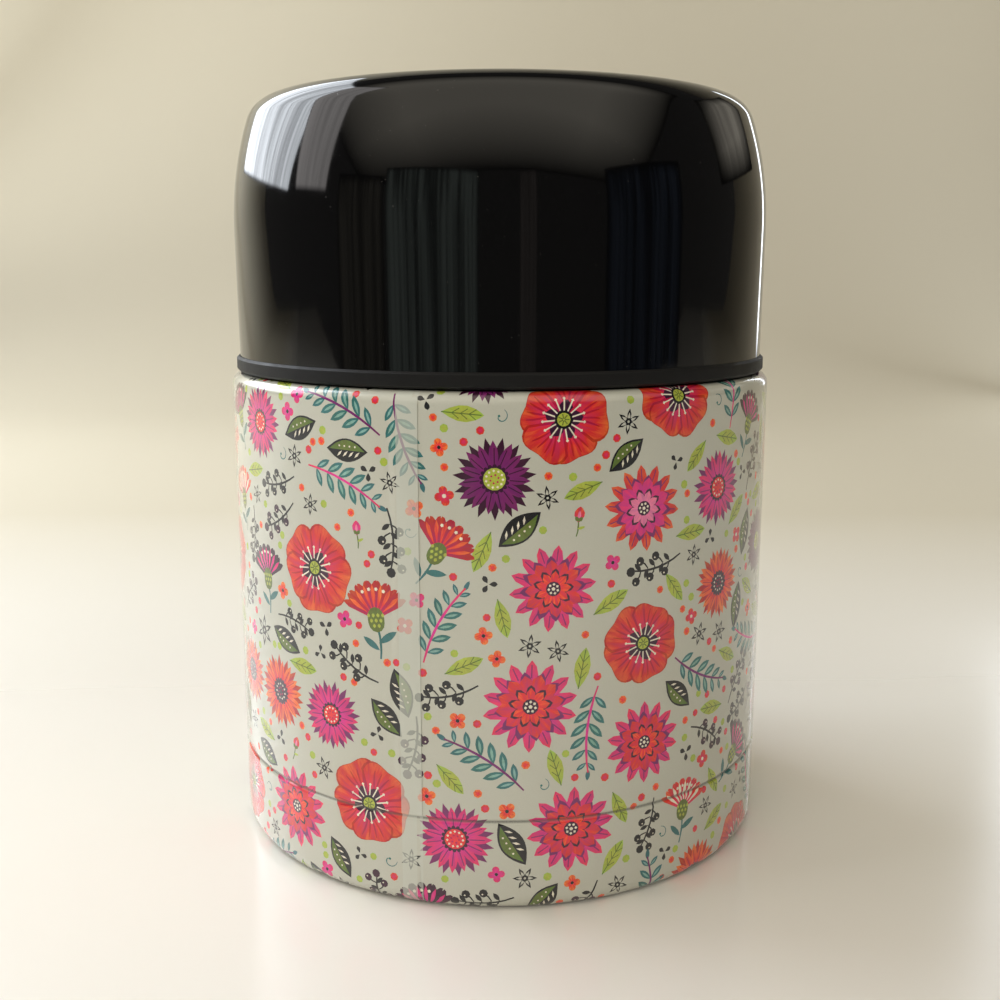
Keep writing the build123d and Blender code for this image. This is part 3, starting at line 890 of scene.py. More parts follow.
def stroke(points, width, taper=0.5):
    """Pen line along points, width (1 - taper s^2) wide, with s from -1 to 1 along it."""
    points = np.asarray(points, complex)
    along = np.gradient(points)
    side = 1j * along / np.abs(along)
    half = width / 2 * (1 - taper * np.linspace(-1, 1, len(points)) ** 2)
    return np.concatenate([points - side * half, (points + side * half)[::-1]])


def bow(start, end, depth, steps=8):
    """Parabola from start to end that bows to the left by depth times the span."""
    t = np.linspace(0, 1, steps + 1)
    span = end - start
    return start + span * t + 1j * span * depth * 4 * t * (1 - t)


def around(shape, count, ink, turn=0.0, wobble=None):
    """The shape repeated round the middle, a little uneven where wobble is given."""
    turns = 2 * np.pi * np.arange(count) / count + turn
    sizes = np.ones(count)
    if wobble is not None:
        sizes = wobble.uniform(0.93, 1.05, count)
        turns = turns + wobble.uniform(-0.05, 0.05, count)
    return [(shape * size * spoke(a), ink) for a, size in zip(turns, sizes)]


def poppy(rng):
    """Five broad petals, each over the next, round a ring of stamens."""
    parts = []
    petal = fan(1.0, 0.78, 0.10)
    for turn in 2 * np.pi * (np.array([0, 2, 4, 1, 3]) + rng.uniform(-0.12, 0.12, 5)) / 5:
        grown = petal * spoke(turn) * rng.uniform(0.92, 1.04)
        middle = grown.mean()
        parts += [(grown, "red"), (middle + (grown - middle) * 0.90, "coral")]
        for lean in (-0.34, -0.12, 0.12, 0.34):
            vein = bow(0.38 * spoke(turn + 0.6 * lean), 0.78 * spoke(turn + lean), 0.04, 3)
            parts.append((stroke(vein, 0.035), "red"))
        parts.append((leaf(0.42, 0.30, 1.25, steps=6) * spoke(turn), "plum"))
    return [*parts,
            *around(stroke(bow(0.14, 0.42, 0.0, 1), 0.03, 0), 15, "cream", 0.1),
            *around(lobed(0.035, steps=4) + 0.44, 15, "cream", 0.1),
            (lobed(0.19, 9, 0.07, 27), "black"),
            (lobed(0.14, steps=14), "lime"),
            *around(stroke(bow(0.02, 0.12, 0, 1), 0.025, 0), 7, "olive")]


def aster(rng, back="purple", front="pink", heart="orange"):
    """Two rows of narrow petals round a dotted button."""
    return [(rosette(1.0, 0.42, 15, 0.22, 0.21), back),
            *around(leaf(0.92, 0.23, 1.3, 0.7, 5), 15, front, 0, rng),
            *around(stroke(bow(0.36, 0.74, 0, 1), 0.025, 0), 15, back),
            (rosette(0.36, 0.30, 17, 0.03), "plum"),
            (lobed(0.27, steps=14), heart),
            *around(lobed(0.035, steps=4) + 0.20, 11, "cream"),
            *around(lobed(0.03, steps=4) + 0.10, 6, "red")]


def zinnia(rng, outer="pink", middle="coral", inner="orange"):
    """Three rows of pointed petals, each row with a dark shadow behind it."""
    return [(rosette(1.0, 0.66, 14, 0.13), outer),
            *around(stroke(bow(0.62, 0.90, 0, 1), 0.025, 0), 14, "purple"),
            (rosette(0.76, 0.52, 12, 0.12, 0.2), "purple"),
            *around(leaf(0.69, 0.30, 1.5, 0.55, 6), 12, middle, 0.2, rng),
            (rosette(0.47, 0.30, 9, 0.12), "plum"),
            *around(leaf(0.41, 0.19, 1.5, 0.6, 4), 9, inner),
            (lobed(0.17, steps=12), "plum"),
            *around(lobed(0.035, steps=4) + 0.105, 7, "cream"),
            (lobed(0.045, steps=5), "cream")]


def cornflower(_, crown="plum", light="pink"):
    """Seen from the side: a toothed fan over a scaled cup, on a stem with two leaves."""
    parts = [(stroke(bow(-0.15j, -0.98j, 0.06, 5), 0.055, 0.2), "teal"),
             (leaf(0.55, 0.17, steps=6) * spoke(0.5) - 0.62j, "teal"),
             (leaf(0.50, 0.16, steps=6) * spoke(math.pi - 0.7) - 0.78j, "teal")]
    for lean in (-0.95, 0.95, -0.62, 0.62, -0.30, 0.30, 0.0):
        up = spoke(math.pi / 2 + lean)
        parts.append((fan(0.95, 0.20, 0.16, 6) * up - 0.08j, crown))
        parts.append((leaf(0.66, 0.11, 1.4, steps=5) * up - 0.04j + 0.12 * up, light))
    for lean in (-0.45, -0.15, 0.15, 0.45):
        parts.append((lobed(0.045, steps=5) + 0.62j * spoke(-lean), "cream"))
    parts.append((lobed(0.25, 2, 0.16, 16) * 1j - 0.08j, "olive"))
    for row, count in ((-0.03, 4), (-0.15, 3), (-0.27, 2)):
        places = (np.arange(count) - (count - 1) / 2) * 0.12
        parts += [(leaf(0.10, 0.08, steps=3) * 1j + x + 1j * row, "lime") for x in places]
    return parts


def fern(rng, frond="teal", stem="purple", pairs=6):
    """Curved stem with pairs of two-tone leaflets that shrink towards the tip."""
    spine = bow(-1.0 + 0j, 1.0 + 0j, 0.07 * rng.choice([-1, 1]), 8)
    parts = []
    for t in np.linspace(0.12, 0.88, pairs):
        at = np.linspace(0, 1, len(spine))
        root = np.interp(t, at, spine.real) + 1j * np.interp(t, at, spine.imag)
        size = 0.50 * math.sin(math.pi * (0.25 + 0.62 * t))
        for side in (-0.85, 0.85):
            parts.append((root + leaf(size, 0.36 * size, 1.1, steps=5) * spoke(side), frond))
            gloss = leaf(size, 0.2 * size, steps=3) * 0.62 + 0.16 * size
            parts.append((root + gloss * spoke(side), "mist"))
    parts.append((leaf(0.26, 0.11, steps=5) + 0.93, frond))
    parts.append((stroke(spine, 0.055, 0.35), stem))
    return parts


def berries(_, fruit="black", stem="black"):
    """Twig with a berry and a small leaf at each knot."""
    parts = [(stroke(bow(-1.0, 0.75, 0.08, 6), 0.07, 0.3), stem)]
    for t, side in ((-0.55, 1), (-0.30, -1), (0.0, 1), (0.25, -1), (0.5, 1)):
        root = t + 0.06j
        tip = root + 0.36 * spoke(side * 0.9)
        parts.append((stroke(bow(root, tip, side * 0.1, 2), 0.05, 0.2), stem))
        parts.append((lobed(0.14, steps=8) + tip, fruit))
        parts.append((lobed(0.032, steps=4) + tip + 0.035 + 0.035j, "cream"))
        parts.append((leaf(0.32, 0.15, steps=4) * spoke(-side * 1.0) + root, stem))
    parts.append((lobed(0.15, steps=8) + 0.84, fruit))
    return parts


def willow(_, blade="lime", vein="olive"):
    """Plain pointed leaf with a midrib and side veins."""
    parts = [(leaf(2.0, 0.78, 1.1, 0.85, 10) - 1.0, blade),
             (stroke(bow(-1.0, 0.88, 0.0, 1), 0.05, 0), vein)]
    for t in (-0.5, -0.1, 0.3):
        for side in (-1, 1):
            parts.append((stroke(bow(t, t + 0.34 + side * 0.24j, 0, 1), 0.04, 0), vein))
    return parts


def two_tone(_, dark="black", light="olive"):
    """Leaf with one dark and one light half, hatched and dotted."""
    whole = leaf(2.0, 0.95, 1.0, 0.9, 10) - 1.0
    half = whole[:11] * 0.86
    parts = [(whole, dark), (half, light)]
    parts += [(leaf(0.34, 0.10, steps=4) * spoke(0.8) + x + 0.03j, "cream")
              for x in (-0.62, -0.34, -0.06, 0.22)]
    parts += [(lobed(0.045, steps=5) + x - 0.16j, "cream") for x in (-0.4, -0.15, 0.1, 0.35)]
    return parts


def four_petals(_, petal="orange", heart="black"):
    """Four round petals and a button."""
    parts = around(lobed(0.42, 1, 0.10, 10) + 0.50, 4, petal, math.pi / 4)
    return parts + [(lobed(0.20, steps=8), heart)]


def star(_, line="black", fill="ground"):
    """Six outlined rays and a button."""
    return [(rosette(1.0, 0.28, 6, 0.38), line), (rosette(0.70, 0.10, 6, 0.42), fill),
            (lobed(0.28, steps=8), line), (lobed(0.11, steps=5), fill)]


def bud(_, skin="coral"):
    """Closed flower on a stalk."""
    return [(leaf(1.0, 0.66, 1.2) * 1j - 0.1j, skin),
            (leaf(0.55, 0.22, steps=5) * 1j + 0.1j, "rose"),
            (stroke(bow(0, -0.9j, 0.06, 3), 0.09, 0.2), "olive"),
            (leaf(0.5, 0.2, steps=5) * spoke(0.4) - 0.45j, "lime"),
            (leaf(0.36, 0.26, steps=5) * spoke(0.9), "olive"),
            (leaf(0.36, 0.26, steps=5) * spoke(math.pi - 0.9), "olive")]


def seeds(_, ink="black"):
    """Three drops."""
    return [((leaf(0.9, 0.56, 1.4, 0.7, 5) + 0.10) * spoke(turn), ink) for turn in (0.2, 2.3, 4.4)]


def dot(_, ink="orange"):
    """Round dot."""
    return [(lobed(1.0, steps=7), ink)]


def curl(_, ink="teal"):
    """Pen spiral whose radius grows evenly with its turn."""
    t = np.linspace(0, 1, 12)
    return [(stroke((0.25 + 0.75 * t) * spoke(4.6 * t) - 0.1, 0.13, 0.5), ink),
            (lobed(0.17, steps=7) + 0.12, ink)]


# Discs that a motif keeps clear for itself: place along its length and radius, as shares.
ROUND = ((0.0, 1.0),)
LONG = ((-0.66, 0.36), (0.0, 0.42), (0.66, 0.36))
TALL = ((0.45, 0.62), (-0.5, 0.42))
# Motif, choices of ink, radius in millimetres, discs and how many are wanted.
KINDS = (
    (poppy, ({},), 8.0, ROUND, 13),
    (zinnia, ({}, {"outer": "coral", "middle": "pink", "inner": "rose"}), 7.6, ROUND, 14),
    (aster, ({}, {"back": "plum", "front": "purple", "heart": "lime"},
             {"back": "red", "front": "orange", "heart": "plum"}), 6.4, ROUND, 27),
    (cornflower, ({}, {"crown": "coral", "light": "cream"},
                  {"crown": "red", "light": "orange"}), 7.0, TALL, 26),
    (fern, ({}, {"frond": "teal", "stem": "pink"}), 7.6, LONG, 34),
    (berries, ({}, {"fruit": "plum", "stem": "black"}), 5.4, LONG, 54),
    (two_tone, ({},), 4.1, LONG, 50),
    (willow, ({},), 3.4, LONG, 90),
    (star, ({},), 3.0, ROUND, 60),
    (bud, ({}, {"skin": "pink"}), 2.6, ROUND, 70),
    (star, ({},), 2.0, ROUND, 120),
    (four_petals, ({}, {"petal": "pink"}, {"petal": "coral", "heart": "cream"}), 1.6, ROUND, 130),
    (seeds, ({},), 1.5, ROUND, 130),
    (curl, ({},), 1.3, ROUND, 60),
    (dot, ({}, {"ink": "coral"}, {"ink": "lime"}), 0.72, ROUND, 420),
)
MARGIN = 0.22  # millimetres kept between two motifs
OVERLAP = 0.12  # share of its radius by which a large motif may cut into another
LARGE = 3.0  # radius in millimetres from which a motif counts as large
PAST_EDGE = 0.3  # share of its radius by which its middle may lie off the sheet
SWAY = 0.35  # usual lean of an upright motif, in radians
GROWTH = (0.92, 1.05)  # smallest and largest size, as shares of the radius
THROWS = 60  # tries for each motif that is wanted


def scattered(rng, width, height):
    """Throws the motifs, largest first, on a sheet whose side edges meet. One stays where its
    discs clear all the discs before it. Gives (motif, inks, radius, place, turn)."""
    placed = []
    taken = np.zeros((0, 3))
    for make, choices, radius, cover, count in KINDS:
        shares = np.array(cover)
        upright = cover is TALL or make is bud
        closest = MARGIN - (OVERLAP * radius if radius > LARGE else 0)
        over = PAST_EDGE * radius
        wanted = count
        for _ in range(count * THROWS):
            if wanted == 0:
                break
            x, y = rng.uniform([0, -over], [width, height + over])
            turn = rng.normal(0, SWAY) if upright else rng.uniform(0, 2 * math.pi)
            along = shares[:, 0] * radius * spoke(turn) * (1j if cover is TALL else 1)
            mine = np.stack([x + along.real, y + along.imag, shares[:, 1] * radius], 1)
            across = np.abs(mine[:, None, 0] - taken[None, :, 0])
            across = np.minimum(across, np.abs(width - across))
            gap = np.hypot(across, mine[:, None, 1] - taken[None, :, 1])
            gap = gap - mine[:, None, 2] - taken[None, :, 2]
            if gap.size and gap.min() < closest:
                continue
            mine[:, 0] %= width
            taken = np.concatenate([taken, mine])
            inks = choices[rng.integers(len(choices))]
            placed.append((make, inks, radius * rng.uniform(*GROWTH), x + 1j * y, turn))
            wanted -= 1
    return placed[::-1]


def eased(shape, tolerance):
    """Drops every other point that lies nearer than tolerance to the line between its
    neighbours, until none is left to drop."""
    while len(shape) > 4:
        before, after = np.roll(shape, 1), np.roll(shape, -1)
        span = after - before
        off = np.abs(((shape - before) * span.conj()).imag) / np.maximum(np.abs(span), 1e-9)
        drop = off < tolerance
        drop[::2] = False
        if not drop.any():
            return shape
        shape = shape[~drop]
    return shape


# ---- Printed film ----
# Lengths on the flat sheet are in millimetres.

GROOVE_BEND = 0.5  # bend of the film at the edges of the weld line
SIDE_STEP = 0.6  # longest step along a bend of the side
STRAIGHT_LEG = 1.0  # a longer leg of the side is straight, not a step of a bend
INNER_DEPTH = 0.8  # depth of the inner side, as a share of the film's thickness
CUT_TOLERANCE = 1e-5  # points nearer than this are one when the sheet is cut
FOLD_TOLERANCE = 1e-4  # an edge nearer than this to a fold lies on it
FLAT_ANGLE = math.radians(1.5)  # faces that turn less than this are joined
ROW_H = 0.485  # height of a row of the bake map
ROW_PITCH = 0.492  # from the foot of its first row to that of its second
MAP_EDGE = 0.002  # border round the rows
BAND = 0.99  # height of the plain side's band in the map, and its far end


class FilmSheet:
    """The film laid flat, in millimetres: u runs to the right round the jar from the left edge
    of its clear flap, and v runs up the jar's side from the heel to the shoulder.

    A flat point goes to the angle lap end - u / film radius, and to the radius and height that
    the side's line has at v. The sheet starts under the flap, goes once round, rises by its own
    thickness over RAMP millimetres and ends in the flap.
    """

    TUCK = 1.0  # part of the sheet hidden under the flap
    RAMP = 1.5  # where the sheet rises on to itself
    RAMP_FOLDS = 4  # strips across that rise
    FLAP_FOLDS = 2  # strips across the flap

    def __init__(self, sizes, look):
        self.radius = sizes.film_r / MM
        self.lap = sizes.lap_w / MM
        self.film = sizes.film / MM
        self.girth = 2 * math.pi * self.radius
        self.start = self.lap - self.TUCK
        self.end = self.girth + self.lap
        self.first_angle = sizes.lap_angle + sizes.lap_w / sizes.film_r
        self.side, self.lean = side_line(sizes)
        _, steps = unit_legs(self.side)
        self.v = np.concatenate([[0], np.cumsum(steps)])
        self.height = self.v[-1]
        self.lap_z = (sizes.groove_z + 2 * sizes.groove_half_w) / MM, (
            sizes.shoulder_z - sizes.shoulder_bend) / MM
        self.tolerance = look.tolerance / MM
        self.strip = look.strip / MM

    def columns(self):
        """Places across the sheet where it may fold."""
        whole = math.ceil((self.girth - self.RAMP - self.start) / self.strip / 2) * 2
        wall = np.linspace(self.start, self.girth - self.RAMP, whole + 1)
        ramp = np.linspace(self.girth - self.RAMP, self.girth, self.RAMP_FOLDS + 1)[1:]
        flap = np.linspace(self.girth, self.end, self.FLAP_FOLDS + 1)[1:]
        return np.concatenate([wall, ramp, flap])

    def fold(self):
        """Middle of the sheet, where its second row in the bake map begins."""
        wall = self.columns()
        return wall[len(wall) // 2]

    def in_space(self, flat, inset=0.0):
        """Points in metres and outward normals of flat points, moved inwards by inset."""
        u, v = flat.T
        r, z, lean_r, lean_z = (np.interp(v, self.v, column) for column in
                                (*self.side.T, *self.lean.T))
        low, high = self.lap_z
        part = np.clip((u - self.girth) / self.RAMP + 1, 0, 1)
        fade = np.clip(np.minimum(z - low, high - z) + 1, 0, 1)
        rise = self.film * part * part * (3 - 2 * part) * fade
        slope = self.film * 6 * part * (1 - part) / self.RAMP * fade
        angle = self.first_angle - u / self.radius
        outward = np.stack([-np.sin(angle), -np.cos(angle), 0 * u], 1)
        along = np.stack([np.cos(angle), -np.sin(angle), 0 * u], 1)
        normal = outward * lean_r[:, None] - along * (slope * lean_r)[:, None]
        normal[:, 2] = lean_z
        normal /= np.linalg.norm(normal, axis=1)[:, None]
        r = r + (rise - inset) * lean_r
        z = z + (rise - inset) * lean_z
        points = outward * r[:, None]
        points[:, 2] = z
        return points * MM, normal


def side_line(sizes):
    """Outer line of the film's side in millimetres, from its foot on the heel to its hem on the
    shoulder, and the outward normal at each of its points. The line is straight or a bend
    everywhere, so a normal is either square to a leg or points away from a bend's centre."""
    s = {name: getattr(sizes, name) / MM for name in (
        "film_r", "film", "film_foot_z", "film_hem", "shoulder_z", "shoulder_bend",
        "groove_z", "groove_depth", "groove_half_w", "heel_bend")}
    heel = s["heel_bend"] + s["film"]
    shoulder = s["shoulder_bend"] + s["film"]
    foot_z = -s["film"]
    top_z = s["shoulder_z"] + s["film"]
    corners = [
        (s["film_r"] - 2 * heel, foot_z),
        (s["film_r"], foot_z, heel),
        (s["film_r"], s["groove_z"] - s["groove_half_w"], GROOVE_BEND),
        (s["film_r"] - s["groove_depth"], s["groove_z"], GROOVE_BEND / 2),
        (s["film_r"], s["groove_z"] + s["groove_half_w"], GROOVE_BEND),
        (s["film_r"], top_z, shoulder),
        (s["film_r"] - s["film"] - s["film_hem"], top_z),
    ]
    line = bent(corners, SIDE_STEP)
    legs, lengths = unit_legs(line)
    square = np.stack([legs[:, 1], -legs[:, 0]], 1)
    normal = np.concatenate([square[:1], square[:-1] + square[1:], square[-1:]])
    for i in np.flatnonzero(lengths > STRAIGHT_LEG):
        normal[i] = normal[i + 1] = square[i]
    normal /= np.hypot(normal[:, 0], normal[:, 1])[:, None]
    low = line[:, 1] > s["film_foot_z"]
    return line[low], normal[low]


def folds(wrap):
    """Net of the sheet's folds: its knots, and the edges along and across it."""
    columns = wrap.columns()
    knots = np.stack(np.meshgrid(columns, wrap.v), -1).reshape(-1, 2)
    numbers = np.arange(len(knots)).reshape(len(wrap.v), len(columns))
    along = np.stack([numbers[:, :-1].ravel(), numbers[:, 1:].ravel()], 1).tolist()
    across = np.stack([numbers[:-1].ravel(), numbers[1:].ravel()], 1).tolist()
    return knots, along, across


def border_numbers(wide, high):
    """Knots on the border of a net, in order."""
    numbers = np.arange(wide * high).reshape(high, wide)
    return np.concatenate([numbers[0], numbers[1:, -1], numbers[-1, -2::-1],
                           numbers[-2:0:-1, 0]]).tolist()


def cut_sheet(wrap, outlines):
    """Cuts the flat sheet along outlines and along its own folds.

    Gives flat points, triangles and, for each triangle, the numbers of the outlines over it.
    """
    columns = wrap.columns()
    corners, edges, faces = [], [], []

    def add(points):
        """Adds points to the cut and gives their numbers."""
        first = sum(map(len, corners))
        corners.append(np.asarray(points, float))
        return list(range(first, first + len(points)))

    net, along, across = folds(wrap)
    add(net)
    edges += along + across
    faces.append(border_numbers(len(columns), len(wrap.v)))
    for shape in outlines:
        faces.append(add(np.stack([shape.real, shape.imag], 1)))
    flat = [Vector(point) for point in np.concatenate(corners).tolist()]
    points, _, triangles, _, _, over = delaunay_2d_cdt(flat, edges, faces, 1,
                                                           CUT_TOLERANCE, True)
    points = np.array([tuple(p) for p in points])
    triangles = np.array(triangles)
    middle = points[triangles].mean(1)
    inside = ((middle[:, 0] > wrap.start) & (middle[:, 0] < wrap.end)
              & (middle[:, 1] > 0) & (middle[:, 1] < wrap.height))
    kept = np.flatnonzero(inside)
    used, renumbered = np.unique(triangles[kept], return_inverse=True)
    return points[used], renumbered.reshape(-1, 3), [over[i] for i in kept]


def joined(wrap, points, triangles, top):
    """Joins neighbouring triangles under the same outline, never across a fold, and cuts what
    is left into triangles again: far fewer than before."""
    mesh = bpy.data.meshes.new("flat")
    mesh.from_pydata(np.pad(points, ((0, 0), (0, 1))).tolist(), [], triangles.tolist())
    mesh.polygons.foreach_set("material_index", top.astype(np.int32))
    ends = np.zeros(len(mesh.edges) * 2, np.int32)
    mesh.edges.foreach_get("vertices", ends)
    ends = points[ends].reshape(-1, 2, 2)
    on_fold = [np.abs(ends[..., axis, None] - lines).min(-1).max(-1) < FOLD_TOLERANCE
               for axis, lines in ((0, wrap.columns()), (1, wrap.v))]
    level = [np.abs(np.ptp(ends[..., axis], axis=1)) < FOLD_TOLERANCE for axis in (0, 1)]
    mesh.edges.foreach_set("use_seam", (on_fold[0] & level[0]) | (on_fold[1] & level[1]))
    work = bmesh.new()
    work.from_mesh(mesh)
    bmesh.ops.dissolve_limit(work, angle_limit=FLAT_ANGLE, verts=work.verts[:],
                             edges=work.edges[:], delimit={"MATERIAL", "SEAM"})
    bmesh.ops.triangulate(work, faces=work.faces[:])
    work.to_mesh(mesh)
    work.free()
    points = np.zeros(len(mesh.vertices) * 3)
    mesh.vertices.foreach_get("co", points)
    triangles = np.zeros(len(mesh.polygons) * 3, np.int32)
    mesh.polygons.foreach_get("vertices", triangles)
    top = np.zeros(len(mesh.polygons), np.int32)
    mesh.polygons.foreach_get("material_index", top)
    bpy.data.meshes.remove(mesh)
    return points.reshape(-1, 3)[:, :2], triangles.reshape(-1, 3), top


# One outline of the print: its points, its ink, its motif's middle, size and own number, and
# whether it shows through the clear flap.
Outline = namedtuple("Outline", "shape ink spot size own through")


def print_outlines(look, wrap):
    """Every outline on the sheet, lowest first. One that crosses a side edge is there twice."""
    rng = np.random.default_rng(look.seed)
    found = []
    motifs = scattered(rng, wrap.girth, wrap.height)
    for own, (make, inks, size, spot, turn) in enumerate(motifs):
        for shape, ink in make(rng, **inks):
            shape = eased(shape * size * spoke(turn), wrap.tolerance)
            if (np.roll(shape, 1).conj() * shape).imag.sum() < 0:
                shape = shape[::-1]
            for shift in (-wrap.girth, 0, wrap.girth):
                put = shape + spot + shift
                if put.imag.max() < 0 or put.imag.min() > wrap.height:
                    continue
                if put.real.max() > wrap.start and put.real.min() < wrap.girth:
                    found.append(Outline(put, ink, spot + shift, size, own, False))
                if put.real.max() > wrap.girth and put.real.min() < wrap.end:
                    found.append(Outline(put, ink, spot + shift, size, own, True))
    return found


def build_film():
    """The film as one closed sheet: its printed side is cut along every outline of the print,
    its inner side is plain, and four narrow hems join them."""
    sizes = scene().jar_body
    look = scene().jar_print
    wrap = FilmSheet(sizes, look)
    outlines = print_outlines(look, wrap)
    flat, triangles, over = cut_sheet(wrap, [outline.shape for outline in outlines])
    middle = flat[triangles].mean(1)
    on_flap = middle[:, 0] > wrap.girth
    through = [None] + [outline.through for outline in outlines]
    top = np.array([max((face for face in faces if through[face] == bool(flap)), default=0)
                    for faces, flap in zip(over, on_flap)])
    flat, triangles, top = joined(wrap, flat, triangles, top)
    on_flap = flat[triangles].mean(1)[:, 0] > wrap.girth
    ink_of = np.array([0] + [INKS.index(outline.ink) for outline in outlines])
    spot_of = np.array([0j] + [outline.spot for outline in outlines])
    size_of = np.array([1.0] + [outline.size for outline in outlines])
    own_of = np.array([0.0] + [outline.own for outline in outlines]) / len(outlines)
    corner = flat[triangles]
    local = (corner[..., 0] + 1j * corner[..., 1] - spot_of[top][:, None]) / size_of[top][:, None]
    local = np.stack([local.real, local.imag, np.repeat(own_of[top][:, None], 3, 1)], -1)
    local[top == 0] = 0

    points, normals = wrap.in_space(flat)
    rim = border(triangles)
    inner_flat, inner_triangles = plain_side(wrap, flat[rim])
    inner_points, inner_normals = wrap.in_space(inner_flat, wrap.film * INNER_DEPTH)
    count = len(points)
    same = match(inner_flat, flat[rim])
    hem = np.stack([rim, count + same, count + np.roll(same, -1), np.roll(rim, -1)], 1)
    faces = (triangles.tolist() + (inner_triangles[:, ::-1] + count).tolist() + hem.tolist())
    film = piece("printed_film", np.concatenate([points, inner_points]), faces, "jar",
                 "printed_film", finish("printed_film"), ["print_film"], smooth=False)
    mesh = film.data
    sides = len(triangles)
    total = len(mesh.polygons)
    for name, values in (("ink", ink_of[top]), ("veil", on_flap)):
        column = np.zeros(total)
        column[:sides] = values
        mesh.attributes.new(name, "FLOAT", "FACE").data.foreach_set("value", column)
    column = np.zeros((len(mesh.loops), 3))
    column[:sides * 3] = local.reshape(-1, 3)
    own_place = mesh.attributes.new("local", "FLOAT_VECTOR", "CORNER")
    own_place.data.foreach_set("vector", column.ravel())
    bake_map(mesh, wrap, corner, sides)
    mesh.shade_smooth()
    loop_normals = np.zeros((len(mesh.loops), 3))
    loop_normals[:sides * 3] = normals[triangles.ravel()]
    inner_end = (sides + len(inner_triangles)) * 3
    loop_normals[sides * 3:inner_end] = -inner_normals[inner_triangles[:, ::-1].ravel()]
    mesh.normals_split_custom_set(loop_normals.tolist())
    return film


def border(triangles):
    """Point numbers of the triangles' outer edge, in order."""
    edges = np.concatenate([triangles[:, [0, 1]], triangles[:, [1, 2]], triangles[:, [2, 0]]])
    forward = edges[:, 0] * (edges.max() + 1) + edges[:, 1]
    backward = edges[:, 1] * (edges.max() + 1) + edges[:, 0]
    following = dict(edges[~np.isin(forward, backward)].tolist())
    ring = [next(iter(following))]
    while following[ring[-1]] != ring[0]:
        ring.append(following[ring[-1]])
    return np.array(ring)


def plain_side(wrap, rim):
    """The sheet cut along its folds alone, with the same points on its edge."""
    net, along, across = folds(wrap)
    corners = [Vector(c) for c in np.concatenate([net, rim]).tolist()]
    ring = list(range(len(net), len(corners)))
    found = delaunay_2d_cdt(corners, along + across, [ring], 1, CUT_TOLERANCE, False)
    return np.array([tuple(p) for p in found[0]]), np.array(found[2])


def match(points, wanted):
    """Numbers of the points nearest to those wanted."""
    apart = wanted[:, None] - points[None]
    return np.hypot(apart[..., 0], apart[..., 1]).argmin(1)


def bake_map(mesh, wrap, corner, sides):
    """UV map in two rows, one for each half of the sheet; the plain side and the hems share a
    narrow band above them."""
    fold = wrap.fold()
    half = max(fold - wrap.start, wrap.end - fold)
    second = corner[..., 0].mean(1) > fold
    u = (corner[..., 0] - np.where(second, fold, wrap.start)[:, None]) / half
    row = np.where(second, ROW_PITCH, 0.0)[:, None]
    v = ROW_H * corner[..., 1] / wrap.height + row + MAP_EDGE
    uv = np.full((len(mesh.loops), 2), BAND)
    uv[:, 0] = np.linspace(1 - BAND, BAND, len(uv))
    uv[:sides * 3] = np.stack([MAP_EDGE + (1 - 2 * MAP_EDGE) * u, v], -1).reshape(-1, 2)
    mesh.uv_layers.new(name="OFBake").data.foreach_set("uv", uv.ravel())


# ---- Steel body ----

def build_body():
    """Three vessels of one sheet thickness, the seal, its cover and the getter: closed outlines
    (radius, height) carried round the axis."""
    b = scene().jar_body
    groove_r = b.shell_r - b.groove_depth
    lip_foot_z = b.lip_z - b.lip_drop
    round_piece("outer_shell", "jar", "shell_steel", sheet([
        (groove_r, b.groove_z),
        (b.shell_r, b.groove_z + b.groove_half_w),
        (b.shell_r, b.shoulder_z, b.shoulder_bend),
        (b.neck_r, b.shoulder_z, b.neck_bend),
        (b.neck_r, lip_foot_z)], b.sheet))
    round_piece("base_cup", "jar", "shell_steel", sheet([
        (groove_r, b.groove_z),
        (b.shell_r, b.groove_z - b.groove_half_w),
        (b.shell_r, 0, b.heel_bend),
        (b.foot_r, 0, b.sheet),
        (b.foot_r - b.recess_lean, b.recess, b.sheet),
        (b.dimple_r, b.recess, b.sheet),
        (b.dimple_r - b.dimple_lean, b.dimple_z, b.sheet),
        (b.seal_hole_r, b.dimple_z)], -b.sheet))
    round_piece("inner_vessel", "jar", "liner_steel", sheet([
        (0, b.floor_z),
        (b.shell_r - 2 * b.sheet - b.vacuum_gap, b.floor_z, b.floor_bend),
        (b.shell_r - 2 * b.sheet - b.vacuum_gap, b.lip_z - b.throat_h - b.cone_h, b.cone_bend),
        (b.mouth_r, b.lip_z - b.throat_h, b.throat_bend),
        (b.mouth_r, b.lip_z, b.lip_bend),
        (b.neck_r, b.lip_z, b.lip_bend),
        (b.neck_r, lip_foot_z)], -b.sheet))
    ease = scene().jar_stopper.ease
    round_piece("vacuum_seal", "jar", "solder", bent([
        (0, b.dimple_z - b.seal_bead_h),
        (b.seal_bead_r, b.dimple_z - b.seal_bead_h, ease),
        (b.seal_bead_r, b.dimple_z),
        (b.seal_hole_r, b.dimple_z),
        (b.seal_hole_r, b.dimple_z + b.sheet),
        (0, b.dimple_z + b.sheet)]), angles=64)
    round_piece("seal_cover", "jar", "shell_steel", bent([
        (0, b.recess - b.seal_cover_t),
        (b.seal_cover_r, b.recess - b.seal_cover_t, b.seal_cover_t / 2),
        (b.seal_cover_r, b.recess),
        (0, b.recess)]), angles=96)
    getter_z = b.floor_z - b.sheet
    round_piece("getter", "jar", "liner_steel", bent([
        (0, getter_z - b.getter_h),
        (b.getter_r, getter_z - b.getter_h, ease),
        (b.getter_r, getter_z),
        (0, getter_z)]), angles=64)


# ---- Cup lid ----

